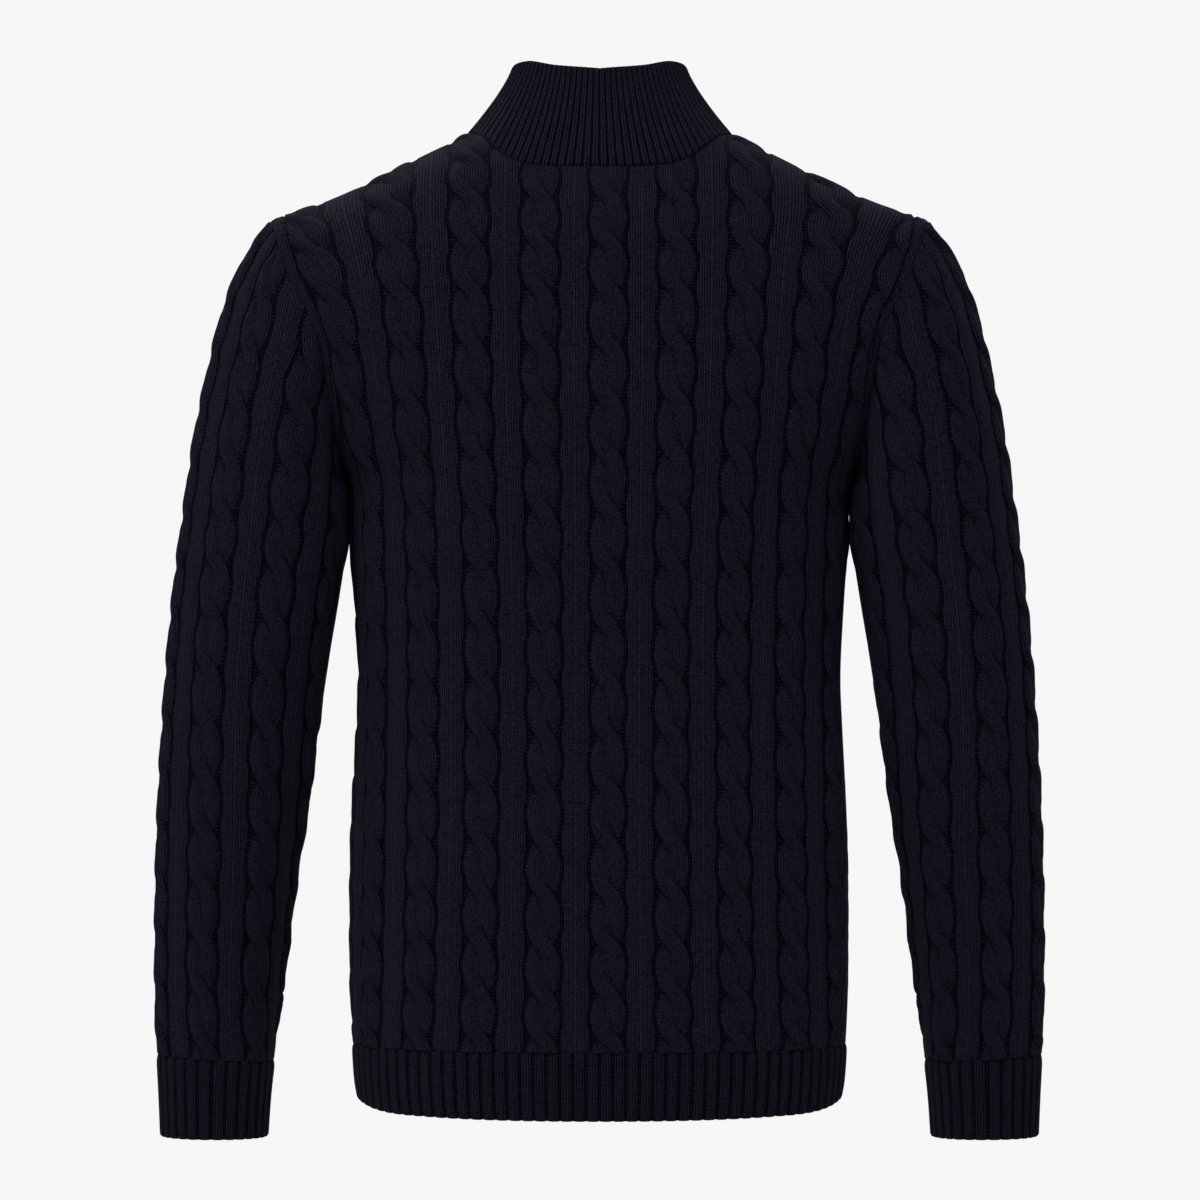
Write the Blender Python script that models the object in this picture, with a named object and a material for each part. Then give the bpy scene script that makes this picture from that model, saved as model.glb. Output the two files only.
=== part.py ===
"""Cable knit zip sweater, worn hollow: ribbed stand collar, short front zip, set-in sleeves.

Frame: +Z up, the zip faces -Y, the wearer's left arm is at +X. The origin is where the garment
hangs on the shoulders, at the middle of the neck, level with the neck points.
Lengths are in millimetres here and become metres when a mesh is made.
"""
import math

import bpy
import bmesh
import numpy as np

MM = 0.001

# Cloth
WALL = 3.0                  # one layer of cable knit
COLLAR_WALL = 5.0           # the collar is doubled rib
SEAM = 0.25                 # each piece stops this far short of a seam

# Heights of the main lines
HEM_Z = -695.5
RIB_TOP_Z = -649.0
ARMPIT_Z = -245.0
SIDE_Y = -8.0               # the side seams lie here
RIDGE_Y = -5.0              # the shoulder ridge lies here
RIDGE_ROUND = 95.0          # height over which the back and chest round over the ridge
SECTION_POWER = 2.6         # squareness of the torso's level sections

# Neck
NECK_HALF = 92.0
NECK_DEPTH = 67.0           # from the ridge to the middle of the back and front neck seam
NECK_SHARE = 0.40           # share of a panel's half width that ends on the neck seam
SHOULDER_X = 236.0
SHOULDER_SEAM = -4.0        # the shoulder seam, just forward of the ridge

# Zip
ZIP_HALF = 8.0              # half of the opening that the zip fills
ZIP_BOTTOM_Z = -236.0
TAPE_THICK = 1.6
TAPE_GAP = 0.5
STOP_SIZE = (2.6, 3.2, 4.0)
SLIDER_SIZE = (8.4, 4.6, 12.0)
PULL_SIZE = (5.4, 1.5, 30.0)
PULL_OPEN = 3.2             # width of the eye in the pull tab
PULL_BAR = 0.8              # from the hinge to the pull tab's end and to its eye
PULL_EYE = 3.0              # length of the eye
BRIDGE = (1.5, 2.6, 2.2)    # inside and outside radius and width of the slider's bridge

# Torso sections: height, half width, back and front. Above the armpit the width is the
# one that the section would have if it ran on under the sleeves.
TORSO = (
    # z, half, back, front
    (-696.0, 172.5, 84.0, -112.0),
    (-684.0, 174.5, 86.5, -115.0),
    (-649.0, 176.5, 88.0, -118.0),
    (-590.0, 178.6, 88.0, -119.0),
    (-503.0, 178.0, 84.0, -118.0),
    (-417.0, 173.8, 79.0, -116.0),
    (-389.0, 172.8, 79.0, -116.0),
    (-331.0, 175.5, 84.0, -118.0),
    (-290.0, 178.8, 89.0, -120.0),
    (-245.0, 182.0, 93.0, -121.5),
    (-228.0, 193.0, 94.0, -122.0),
    (-193.0, 218.0, 95.5, -122.0),
    (-160.0, 245.0, 96.0, -119.5),
    (-120.0, 275.0, 96.0, -114.0),
    (-90.0, 290.0, 95.0, -107.5),
    (-50.0, 300.0, 93.0, -98.0),
    (10.0, 305.0, 90.0, -88.0),
)

# Top of the shoulders: distance from the middle, height behind the ridge and in front of it.
RIDGE = (
    # x, back, front
    (0.0, 4.5, -50.0),
    (30.0, 4.2, -44.0),
    (60.0, 3.6, -29.0),
    (80.0, 3.0, -13.0),
    (94.0, 1.6, 1.6),
    (108.0, -2.5, -2.5),
    (156.0, -24.0, -24.0),
    (224.0, -52.5, -52.5),
    (238.0, -60.0, -60.0),
    (260.0, -78.0, -78.0),
)

# Armhole edge of the panels: height, distance from the middle at the back and at the front.
ARMHOLE = (
    # z, back, front
    (-245.0, 182.0, 182.0),
    (-228.0, 185.5, 183.0),
    (-193.0, 190.5, 184.5),
    (-172.0, 194.5, 186.5),
    (-147.0, 199.0, 190.5),
    (-125.0, 207.5, 199.0),
    (-103.0, 219.0, 213.0),
    (-68.0, 232.0, 231.5),
    (-56.0, 236.0, 236.0),
)

# Sleeve rings: outer and inner points as seen from behind, middle and half depth along Y.
SLEEVE = (
    # outer_x, outer_z, inner_x, inner_z, middle_y, half_depth
    (236.5, -58.5, 182.6, -245.3, -4.0, 70.0),
    (249.0, -75.0, 184.0, -251.5, -4.0, 72.5),
    (261.5, -99.0, 184.6, -260.0, -5.0, 73.5),
    (272.0, -131.0, 184.6, -272.0, -6.0, 73.0),
    (281.0, -170.0, 184.2, -286.0, -7.0, 71.0),
    (289.5, -212.0, 184.4, -304.0, -8.0, 69.0),
    (296.5, -260.0, 187.0, -330.0, -9.0, 66.5),
    (303.5, -312.0, 192.5, -361.0, -10.0, 64.0),
    (309.0, -364.0, 196.8, -388.0, -12.0, 61.0),
    (313.3, -418.0, 203.2, -430.0, -15.0, 57.5),
    (316.8, -470.0, 211.0, -481.0, -20.0, 54.0),
    (319.2, -523.0, 219.4, -532.0, -26.0, 50.0),
    (320.5, -580.0, 226.6, -587.0, -33.0, 45.5),
    (320.7, -625.0, 232.2, -631.0, -38.0, 42.0),
    (319.9, -659.0, 235.6, -663.5, -42.0, 38.5),
)
CUFF = (
    # outer_x, outer_z, inner_x, inner_z, middle_y, half_depth
    (319.7, -659.6, 235.7, -664.1, -42.0, 38.4),
    (318.4, -686.0, 238.3, -689.0, -45.0, 36.0),
    (316.8, -713.5, 240.6, -716.0, -48.0, 34.5),
)
SLEEVE_SQUARE = 2.15        # squareness of the sleeve's sections
CAP_FADE = 5.0              # rings over which the armhole's own curve fades out

# Collar rim: angle from the middle of the back, height.
COLLAR_RIM = (
    # angle, z
    (0.0, 44.5),
    (30.0, 47.5),
    (58.0, 52.0),
    (90.0, 48.5),
    (120.0, 34.0),
    (150.0, 12.0),
    (180.0, 0.0),
)
RIM_HALF = 65.5
RIM_BACK = 51.0
RIM_FRONT = -62.0
COLLAR_FLARE = 1.6          # how fast the collar leaves the shoulders

# Mesh density
NECK_STEPS = 6              # columns of half a panel that end on the neck seam
OUTER_COLUMNS = (0.52, 0.64, 0.75, 0.85, 0.93, 1.0)
ZIP_COLUMN = 0.045
LOWER_ROWS = 10
ARM_STEPS = 9
HEM_ROWS = 3
COLLAR_ROWS = 5

NAVY = (0.011, 0.014, 0.030, 1.0)
NAVY_TAPE = (0.010, 0.012, 0.024, 1.0)
DARK_METAL = (0.30, 0.31, 0.33, 1.0)


def clear_scene():
    """An empty scene, so that the file can be run again."""
    for old in list(bpy.data.objects):
        bpy.data.objects.remove(old, do_unlink=True)


def material(name, colour, roughness, metallic=0.0):
    """A plain Principled material."""
    made = bpy.data.materials.new(name)
    made.use_nodes = True
    shader = made.node_tree.nodes["Principled BSDF"]
    shader.inputs["Base Color"].default_value = colour
    shader.inputs["Roughness"].default_value = roughness
    shader.inputs["Metallic"].default_value = metallic
    return made


def smooth(table, column, at):
    """The value of a table's column at a place between its rows, without overshoot."""
    rows = np.array(table)
    place, value = rows[:, 0], rows[:, column]
    steps = np.diff(value) / np.diff(place)
    slope = np.concatenate([[steps[0]], (steps[1:] + steps[:-1]) / 2, [steps[-1]]])
    turns = np.concatenate([[False], steps[1:] * steps[:-1] <= 0, [False]])
    slope[turns] = 0.0
    at = np.clip(at, place[0], place[-1])
    row = np.clip(np.searchsorted(place, at, side="right") - 1, 0, len(place) - 2)
    width = place[row + 1] - place[row]
    f = (at - place[row]) / width
    rise = value[row] * (2 * f**3 - 3 * f**2 + 1) + value[row + 1] * (3 * f**2 - 2 * f**3)
    lean = slope[row] * (f**3 - 2 * f**2 + f) + slope[row + 1] * (f**3 - f**2)
    return rise + lean * width


def full_depth(x, z, side):
    """Y of the torso's level section at a distance from the middle; side 2 is back, 3 front."""
    half = smooth(TORSO, 1, z)
    across = np.clip(np.abs(x) / half, 0, 1)
    return SIDE_Y + (smooth(TORSO, side, z) - SIDE_Y) * np.sqrt(1 - across**SECTION_POWER)


def torso_point(x, below, side):
    """A point on the torso, a distance below the shoulder ridge; negative is past the ridge."""
    if below < 0:
        side = 5 - side
        below = -below
    ridge = float(smooth(RIDGE, side - 1, abs(x)))
    turn = min(below / RIDGE_ROUND, 1.0) * math.pi / 2
    z = ridge - RIDGE_ROUND * (1 - math.cos(turn)) - max(below - RIDGE_ROUND, 0.0)
    y = RIDGE_Y + (float(full_depth(x, z, side)) - RIDGE_Y) * math.sin(turn)
    return np.array([x, y, z])


def below_ridge(x, z, side):
    """How far below the ridge a height is, in torso_point's measure."""
    drop = float(smooth(RIDGE, side - 1, abs(x))) - z
    if drop >= RIDGE_ROUND:
        return drop
    return RIDGE_ROUND * math.acos(1 - max(drop, 0.0) / RIDGE_ROUND) * 2 / math.pi


def neck_seam(angle, side):
    """X and the distance below the ridge of the neck seam, at an angle from its middle."""
    x = NECK_HALF * math.sin(angle)
    reach = NECK_DEPTH * math.cos(angle)
    below = 0.0
    for _ in range(4):
        z = torso_point(x, below, side)[2]
        depth = abs(float(full_depth(x, z, side)) - RIDGE_Y)
        below = math.asin(min(reach / depth, 1.0)) * 2 / math.pi * RIDGE_ROUND
    corner = (abs(x) / NECK_HALF) ** 8
    seam = SHOULDER_SEAM if side == 2 else -SHOULDER_SEAM
    return x, below * (1 - corner) + seam * corner


def level_share(fraction, side):
    """Share of the half width at a fraction of the way along a level section."""
    x = np.sin(np.linspace(0, math.pi / 2, 400)) ** (2 / SECTION_POWER)
    half = float(smooth(TORSO, 1, ARMPIT_Z))
    y = full_depth(x * half, ARMPIT_Z, side)
    run = np.concatenate([[0], np.cumsum(np.hypot(np.diff(x * half), np.diff(y)))])
    return float(np.interp(abs(fraction) * run[-1], run, x)) * math.copysign(1, fraction)


def panel_point(fraction, row, side):
    """A point on a body panel: fraction -1 to 1 across, row 0 to 1 to the armpit and on to 2."""
    share = level_share(fraction, side)
    sign = math.copysign(1, fraction)
    zipped = side == 3 and abs(abs(fraction) - ZIP_COLUMN) < 1e-6
    if row <= 1:
        z = RIB_TOP_Z + SEAM + (ARMPIT_Z - RIB_TOP_Z - SEAM) * row
        x = sign * ZIP_HALF if zipped else share * float(smooth(TORSO, 1, z))
        return np.array([x, float(full_depth(x, z, side)), z])
    climb = row - 1
    start_x = share * float(smooth(TORSO, 1, ARMPIT_Z))
    start = below_ridge(start_x, ARMPIT_Z, side)
    if abs(fraction) <= NECK_SHARE:
        angle = fraction / NECK_SHARE * math.pi / 2
        if zipped:
            angle = sign * math.asin(ZIP_HALF / NECK_HALF)
        top_x, top = neck_seam(angle, side)
    else:
        along = (abs(fraction) - NECK_SHARE) / (1 - NECK_SHARE)
        top_x = sign * (NECK_HALF + (SHOULDER_X - NECK_HALF) * along)
        top = SHOULDER_SEAM if side == 2 else -SHOULDER_SEAM
    below = start + (top - start) * climb
    edge = edge_x(climb, side)
    share_there = share + (top_x / SHOULDER_X - share) * climb**1.5
    x = edge * share_there
    if zipped:
        x = sign * ZIP_HALF
    return torso_point(x, below, side)


def edge_x(climb, side):
    """Distance from the middle of the armhole edge, a share of the way up."""
    half = float(smooth(TORSO, 1, ARMPIT_Z))
    start = below_ridge(half, ARMPIT_Z, side)
    top = SHOULDER_SEAM if side == 2 else -SHOULDER_SEAM
    below = start + (top - start) * climb
    x = half + (SHOULDER_X - half) * climb
    for _ in range(12):
        x = float(smooth(ARMHOLE, side - 1, torso_point(x, below, side)[2]))
    return x


def armhole_point(angle):
    """The armhole of the wearer's left arm: angle 0 at the top, back first, pi at the armpit."""
    side = 2 if angle <= math.pi else 3
    return panel_point(1.0, 1 + (1 + math.cos(angle)) / 2, side)


def ring_point(ring, angle):
    """A point on a flat sleeve ring; angle 0 outside, back first, pi inside."""
    outer_x, outer_z, inner_x, inner_z, middle_y, half_depth = ring
    lean = np.array([outer_x - inner_x, 0.0, outer_z - inner_z]) / 2
    middle = np.array([(outer_x + inner_x) / 2, middle_y, (outer_z + inner_z) / 2])
    power = 2 / SLEEVE_SQUARE
    across = math.copysign(abs(math.cos(angle)) ** power, math.cos(angle))
    deep = math.copysign(abs(math.sin(angle)) ** power, math.sin(angle))
    return middle + lean * across + np.array([0.0, half_depth * deep, 0.0])


def ring_angles(steps):
    """Angles of the points round a sleeve, which meet the rows of the panels' armholes."""
    return [math.pi * i / steps for i in range(2 * steps)]


def sleeve_grid(rings, angles, cap):
    """Points of a sleeve, by ring and angle. A cap starts on the armhole's own curve."""
    grid = np.array([[ring_point(ring, a) for a in angles] for ring in rings])
    if cap:
        bend = np.array([armhole_point(a) for a in angles]) - grid[0]
        for i in range(len(rings)):
            grid[i] += bend * max(1 - i / CAP_FADE, 0) ** 2
        toward = grid[1] - grid[0]
        toward /= np.linalg.norm(toward, axis=1)[:, None]
        grid[0] += toward * SEAM
        grid[0, :, 0] += SEAM
    return grid


def grid_normals(grid, closed):
    """Unit normals of a grid of points, whose columns join up where it is closed."""
    down = np.gradient(grid, axis=0)
    if closed:
        across = (np.roll(grid, -1, axis=1) - np.roll(grid, 1, axis=1)) / 2
    else:
        across = np.gradient(grid, axis=1)
    normal = np.cross(across, down)
    return normal / np.linalg.norm(normal, axis=2)[:, :, None]


def unit(vectors):
    """Vectors of length one."""
    return vectors / np.linalg.norm(vectors, axis=-1, keepdims=True)


def square_edge(normals, column):
    """Keeps the wall square to the zip along one column, so that the opening is even."""
    normals[:, column, 0] = 0.0
    normals[:, column] = unit(normals[:, column])


def shell(name, grid, normals, thick, closed, skin, holes=()):
    """A closed wall: the grid is its outer face, and the inner one lies a wall further in."""
    rows, columns = grid.shape[:2]
    inner = grid - normals * thick
    mesh = bmesh.new()
    faces_of = []
    for layer in (grid, inner):
        faces_of.append([[mesh.verts.new(p * MM) for p in line] for line in layer])
    cells = columns if closed else columns - 1
    kept = [(i, j) for i in range(rows - 1) for j in range(cells) if (i, j) not in holes]
    used = {}
    for i, j in kept:
        corners = [(i, j), (i, (j + 1) % columns), (i + 1, (j + 1) % columns), (i + 1, j)]
        for k in range(4):
            start, end = corners[k], corners[(k + 1) % 4]
            if (end, start) in used:
                del used[(end, start)]
            else:
                used[(start, end)] = True
        mesh.faces.new([faces_of[0][a][b] for a, b in corners])
        mesh.faces.new([faces_of[1][a][b] for a, b in reversed(corners)])
    for (a, b), (c, d) in used:
        mesh.faces.new([faces_of[0][c][d], faces_of[0][a][b], faces_of[1][a][b], faces_of[1][c][d]])
    for lone in [v for v in mesh.verts if not v.link_faces]:
        mesh.verts.remove(lone)
    bmesh.ops.recalc_face_normals(mesh, faces=mesh.faces)
    data = bpy.data.meshes.new(name)
    mesh.to_mesh(data)
    mesh.free()
    data.materials.append(skin)
    data.shade_smooth()
    data.set_sharp_from_angle(angle=math.radians(50))
    made = bpy.data.objects.new(name, data)
    bpy.context.scene.collection.objects.link(made)
    return made


def mirrored(grid):
    """The same points on the wearer's right, with the columns in reverse."""
    return grid[:, ::-1] * np.array([-1.0, 1.0, 1.0])


def panel_columns(side):
    """Fractions across a panel, with a pair of columns at the edges of the zip."""
    neck = [NECK_SHARE * (i + 1) / NECK_STEPS for i in range(NECK_STEPS)]
    edge = 1 - SEAM / 220.0
    half = neck + [min(f, edge) for f in OUTER_COLUMNS]
    if side == 3:
        half = [ZIP_COLUMN] + half
    middle = [] if side == 3 else [0.0]
    return [-f for f in reversed(half)] + middle + list(half)


def panel_rows():
    """Rows of a panel: even ones to the armpit, then those that meet the sleeve's ring."""
    lower = [i / LOWER_ROWS for i in range(LOWER_ROWS)]
    upper = [1 + (1 - math.cos(math.pi * i / ARM_STEPS)) / 2 for i in range(ARM_STEPS + 1)]
    return lower + upper


def neck_direction(points):
    """Common direction of both walls at the neck seam: out from the neck and up."""
    out = points - np.array([0.0, RIDGE_Y, 0.0])
    out[..., 2] = 0
    return unit(unit(out) + np.array([0.0, 0.0, 0.8]))


def armhole_direction(points):
    """Common direction of both walls at the armhole: out from the middle of the hole."""
    middle = points.mean(axis=0)
    out = points - middle
    out[:, 0] = 0.29 * out[:, 2]
    return unit(out)


def make_panel(name, side, skin):
    """The back (side 2) or front (side 3) of the body."""
    columns, rows = panel_columns(side), panel_rows()
    grid = np.array([[panel_point(f, r, side) for f in columns] for r in rows])
    grid[-1, :, 1] += SEAM if side == 2 else -SEAM
    normals = grid_normals(grid, False)
    if side == 2:
        normals = -normals
    first = LOWER_ROWS
    angles = ring_angles(ARM_STEPS)
    ring = np.array([armhole_point(a) for a in angles])
    directions = dict(zip([round(a, 6) for a in angles], armhole_direction(ring)))
    for i in range(ARM_STEPS + 1):
        angle = math.pi * (1 - i / ARM_STEPS) if side == 2 else math.pi * (1 + i / ARM_STEPS)
        direction = directions[round(angle % (2 * math.pi), 6)]
        normals[first + i, -1] = direction
        normals[first + i, 0] = direction * np.array([-1.0, 1.0, 1.0])
    normals[:first, -1] = (1, 0, 0)
    normals[:first, 0] = (-1, 0, 0)
    neck = [j for j, f in enumerate(columns) if abs(f) <= NECK_SHARE + 1e-6]
    normals[-1, neck] = neck_direction(grid[-1, neck])
    holes = set()
    if side == 3:
        cell = columns.index(-ZIP_COLUMN)
        square_edge(normals, cell)
        square_edge(normals, cell + 1)
        slit = [i for i in range(len(rows) - 1) if grid[i, cell, 2] > ZIP_BOTTOM_Z - 12]
        grid[slit[0], cell:cell + 2, 2] = ZIP_BOTTOM_Z
        grid[slit[0], cell:cell + 2, 1] = full_depth(ZIP_HALF, ZIP_BOTTOM_Z, 3)
        holes = {(i, cell) for i in slit}
    return shell(name, grid, normals, WALL, False, skin, holes)


def make_sleeves(skin):
    """Both sleeves, from the armhole to the cuff's seam."""
    angles = ring_angles(ARM_STEPS)
    grid = sleeve_grid(SLEEVE, angles, True)
    normals = outward(grid, grid_normals(grid, True))
    normals[0] = armhole_direction(np.array([armhole_point(a) for a in angles]))
    flip = np.array([-1.0, 1.0, 1.0])
    shell("sleeve_left", grid, normals, WALL, True, skin)
    shell("sleeve_right", mirrored(grid), normals[:, ::-1] * flip, WALL, True, skin)


def outward(grid, normals):
    """Normals turned away from the middle of each ring."""
    middle = grid.mean(axis=1, keepdims=True)
    facing = np.sum((grid - middle) * normals, axis=2, keepdims=True)
    return normals * np.sign(facing.sum())


def make_cuffs(skin):
    """The ribbed cuffs."""
    angles = ring_angles(ARM_STEPS)
    grid = sleeve_grid(CUFF, angles, False)
    normals = outward(grid, grid_normals(grid, True))
    flip = np.array([-1.0, 1.0, 1.0])
    shell("cuff_left", grid, normals, WALL, True, skin)
    shell("cuff_right", mirrored(grid), normals[:, ::-1] * flip, WALL, True, skin)


def make_hem(name, side, skin):
    """The hem rib of one panel."""
    columns = [f for f in panel_columns(2)]
    lines = []
    for i in range(HEM_ROWS + 1):
        z = HEM_Z + (RIB_TOP_Z - SEAM - HEM_Z) * i / HEM_ROWS
        half = float(smooth(TORSO, 1, z))
        line = [level_share(f, side) * half for f in columns]
        lines.append([[x, float(full_depth(x, z, side)), z] for x in line])
    grid = np.array(lines)
    normals = grid_normals(grid, False)
    if side == 2:
        normals = -normals
    normals[:, -1] = (1, 0, 0)
    normals[:, 0] = (-1, 0, 0)
    return shell(name, grid, normals, WALL, False, skin)


def neck_loop(angle):
    """A point of the neck seam, at an angle from the middle of the back."""
    side = 2 if abs(angle) <= math.pi / 2 else 3
    folded = angle if side == 2 else math.copysign(math.pi - abs(angle), angle)
    x, below = neck_seam(folded, side)
    return torso_point(x, below, side)


ZIP_ANGLE = math.pi - math.asin(ZIP_HALF / NECK_HALF)


def collar_point(base_angle, rise):
    """A point of the collar: rise 0 on the neck seam, 1 on the rim."""
    base = neck_loop(base_angle)
    angle = base_angle * (math.pi - math.asin(ZIP_HALF / RIM_HALF)) / ZIP_ANGLE
    reach = RIM_BACK if abs(angle) <= math.pi / 2 else -RIM_FRONT
    height = float(smooth(COLLAR_RIM, 1, abs(math.degrees(angle))))
    rim = np.array([RIM_HALF * math.sin(angle), reach * math.cos(angle), height])
    spread = (1 - rise) ** COLLAR_FLARE
    point = rim + (base - rim) * np.array([spread, spread, 1 - rise])
    return point


def make_collar(skin):
    """The doubled ribbed stand collar, open at the front for the zip."""
    half = [math.pi / 2 * (i + 1) / NECK_STEPS for i in range(2 * NECK_STEPS - 1)] + [ZIP_ANGLE]
    turns = [-a for a in reversed(half)] + [0.0] + half
    rises = [i / COLLAR_ROWS for i in range(COLLAR_ROWS + 1)]
    grid = np.array([[collar_point(t, r) for t in turns] for r in rises])
    normals = outward(grid, grid_normals(grid, False))
    normals[0] = neck_direction(grid[0])
    square_edge(normals, 0)
    square_edge(normals, -1)
    grid[0, :, 2] += 3 * SEAM
    return shell("collar", grid, normals, COLLAR_WALL, False, skin)


def zip_line(count):
    """Points down the middle of the zip, from the collar's rim to its bottom end."""
    collar = [collar_point(ZIP_ANGLE, 1 - i / 6) for i in range(6)]
    first = neck_loop(ZIP_ANGLE)
    start = below_ridge(ZIP_HALF, float(first[2]), 3)
    end = below_ridge(ZIP_HALF, ZIP_BOTTOM_Z, 3)
    chest = [torso_point(ZIP_HALF, start + (end - start) * i / count, 3) for i in range(count + 1)]
    line = np.array(collar + chest)
    line[:, 0] = 0.0
    return line


def line_frame(line):
    """Tangent down a line in the YZ plane and the direction out from the chest."""
    tangent = unit(np.gradient(line, axis=0))
    out = np.stack([np.zeros(len(line)), tangent[:, 2], -tangent[:, 1]], axis=1)
    return tangent, out


def make_tapes(skin):
    """The two zip tapes, which fill the opening inside the knitted edges."""
    line = zip_line(10)
    line[0] += (line[1] - line[0]) * 0.1
    line[-1] += unit(line[-2] - line[-1]) * 0.8
    _, out = line_frame(line)
    face = line - out * 1.0
    for name, sign in (("zip_tape_left", 1.0), ("zip_tape_right", -1.0)):
        strips = []
        for x in (TAPE_GAP, ZIP_HALF - TAPE_GAP):
            strip = face.copy()
            strip[:, 0] = sign * x
            strips.append(strip)
        grid = np.stack(strips, axis=1)
        normals = np.stack([out, out], axis=1)
        shell(name, grid, normals, TAPE_THICK, False, skin)


def block(name, size, skin, bevel):
    """A bevelled block round its own origin, in metres."""
    mesh = bmesh.new()
    bmesh.ops.create_cube(mesh, size=1.0)
    bmesh.ops.scale(mesh, vec=[s * MM for s in size], verts=mesh.verts)
    bmesh.ops.bevel(mesh, geom=mesh.edges[:], offset=bevel * MM, segments=2, affect="EDGES")
    data = bpy.data.meshes.new(name)
    mesh.to_mesh(data)
    mesh.free()
    data.materials.append(skin)
    made = bpy.data.objects.new(name, data)
    bpy.context.scene.collection.objects.link(made)
    return made


def place(thing, point, out):
    """Puts a small part at a point in millimetres, its front turned out from the chest."""
    thing.location = [c * MM for c in point]
    thing.rotation_euler = (math.atan2(-out[2], -out[1]), 0.0, 0.0)
    return thing


def make_zip_metal(metal):
    """Stops, slider and pull tab."""
    line = zip_line(10)
    tangent, out = line_frame(line)
    for name, sign in (("zip_top_stop_left", 1.0), ("zip_top_stop_right", -1.0)):
        stop = block(name, STOP_SIZE, metal, 0.5)
        point = line[0] + tangent[0] * 4.2 + out[0] * (STOP_SIZE[1] / 2 - 0.6)
        point[0] = sign * (STOP_SIZE[0] / 2 + 0.5)
        place(stop, point, out[0])
    stop = block("zip_bottom_stop", (6.0, STOP_SIZE[1], 3.6), metal, 0.6)
    place(stop, line[-1] - tangent[-1] * 4.0 + out[-1] * (STOP_SIZE[1] / 2 - 0.6), out[-1])
    slider_at = line[0] + tangent[0] * 13.0 + out[0] * (SLIDER_SIZE[1] / 2 - 0.6)
    slider = block("zip_slider", SLIDER_SIZE, metal, 1.1)
    add_bridge(slider)
    place(slider, slider_at, out[0])
    pivot = slider_at + out[0] * (SLIDER_SIZE[1] / 2 + 1.3) - tangent[0] * 1.0
    make_pull(metal, pivot, out[0])


def add_bridge(slider):
    """The arch on the slider's front that goes through the pull tab's eye."""
    inside, outside, width = BRIDGE
    root, hinge, up = -SLIDER_SIZE[1] / 2 + 0.4, -SLIDER_SIZE[1] / 2 - 1.3, 1.0
    steps = 12
    turns = [math.pi * i / steps for i in range(steps + 1)]
    profile = [(root, up + outside)]
    profile += [(hinge - outside * math.sin(a), up + outside * math.cos(a)) for a in turns]
    profile += [(root, up - outside), (root, up - inside)]
    profile += [(hinge - inside * math.sin(a), up - inside * math.cos(a)) for a in turns]
    profile += [(root, up + inside)]
    mesh = bmesh.new()
    ring = [mesh.verts.new((-width / 2 * MM, y * MM, z * MM)) for y, z in profile]
    face = mesh.faces.new(ring)
    grown = bmesh.ops.extrude_face_region(mesh, geom=[face])["geom"]
    moved = [v for v in grown if isinstance(v, bmesh.types.BMVert)]
    bmesh.ops.translate(mesh, vec=(width * MM, 0, 0), verts=moved)
    bmesh.ops.recalc_face_normals(mesh, faces=mesh.faces)
    data = bpy.data.meshes.new("bridge")
    mesh.to_mesh(data)
    mesh.free()
    bridge = bpy.data.objects.new("bridge", data)
    bpy.context.scene.collection.objects.link(bridge)
    join = slider.modifiers.new("join", "BOOLEAN")
    join.operation = "UNION"
    join.object = bridge
    bpy.context.view_layer.objects.active = slider
    bpy.ops.object.modifier_apply(modifier="join")
    bpy.data.objects.remove(bridge)


def make_pull(metal, pivot, out):
    """The pull tab, a flat bar with an eye, whose origin is on its hinge."""
    width, thick, length = PULL_SIZE
    mesh = bmesh.new()
    half, top, low = width / 2, PULL_BAR, PULL_BAR - length
    outline = [(half - 0.6, top), (half, top - 0.6)]
    steps = 8
    for i in range(steps + 1):
        a = math.pi * i / steps
        outline.append((half * math.cos(a), low + width / 4 - width / 4 * math.sin(a)))
    outline += [(-half, top - 0.6), (-half + 0.6, top)]
    eye = PULL_OPEN / 2
    hole = [(eye, -PULL_BAR), (eye, -PULL_BAR - PULL_EYE + 0.6), (eye - 0.6, -PULL_BAR - PULL_EYE),
            (-eye + 0.6, -PULL_BAR - PULL_EYE), (-eye, -PULL_BAR - PULL_EYE + 0.6), (-eye, -PULL_BAR)]
    rings = []
    for y in (-thick / 2, thick / 2):
        outer = [mesh.verts.new((x * MM, y * MM, z * MM)) for x, z in outline]
        inner = [mesh.verts.new((x * MM, y * MM, z * MM)) for x, z in hole]
        edges = [mesh.edges.new((ring[i], ring[(i + 1) % len(ring)]))
                 for ring in (outer, inner) for i in range(len(ring))]
        bmesh.ops.triangle_fill(mesh, use_beauty=True, use_dissolve=False, edges=edges)
        rings.append((outer, inner))
    for k in (0, 1):
        front, back = rings[0][k], rings[1][k]
        for i in range(len(front)):
            j = (i + 1) % len(front)
            mesh.faces.new([front[i], front[j], back[j], back[i]])
    bmesh.ops.recalc_face_normals(mesh, faces=mesh.faces)
    data = bpy.data.meshes.new("zip_pull")
    mesh.to_mesh(data)
    mesh.free()
    data.materials.append(metal)
    made = bpy.data.objects.new("zip_pull", data)
    bpy.context.scene.collection.objects.link(made)
    place(made, pivot, out)
    return made


def main():
    clear_scene()
    knit = material("cable_knit", NAVY, 0.92)
    rib = material("rib_knit", NAVY, 0.92)
    tape = material("zip_tape", NAVY_TAPE, 0.85)
    metal = material("zip_metal", DARK_METAL, 0.35, 1.0)
    make_panel("back_panel", 2, knit)
    make_panel("front_panel", 3, knit)
    make_sleeves(knit)
    make_cuffs(rib)
    make_hem("hem_rib_back", 2, rib)
    make_hem("hem_rib_front", 3, rib)
    make_collar(rib)
    make_tapes(tape)
    make_zip_metal(metal)


main()
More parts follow.
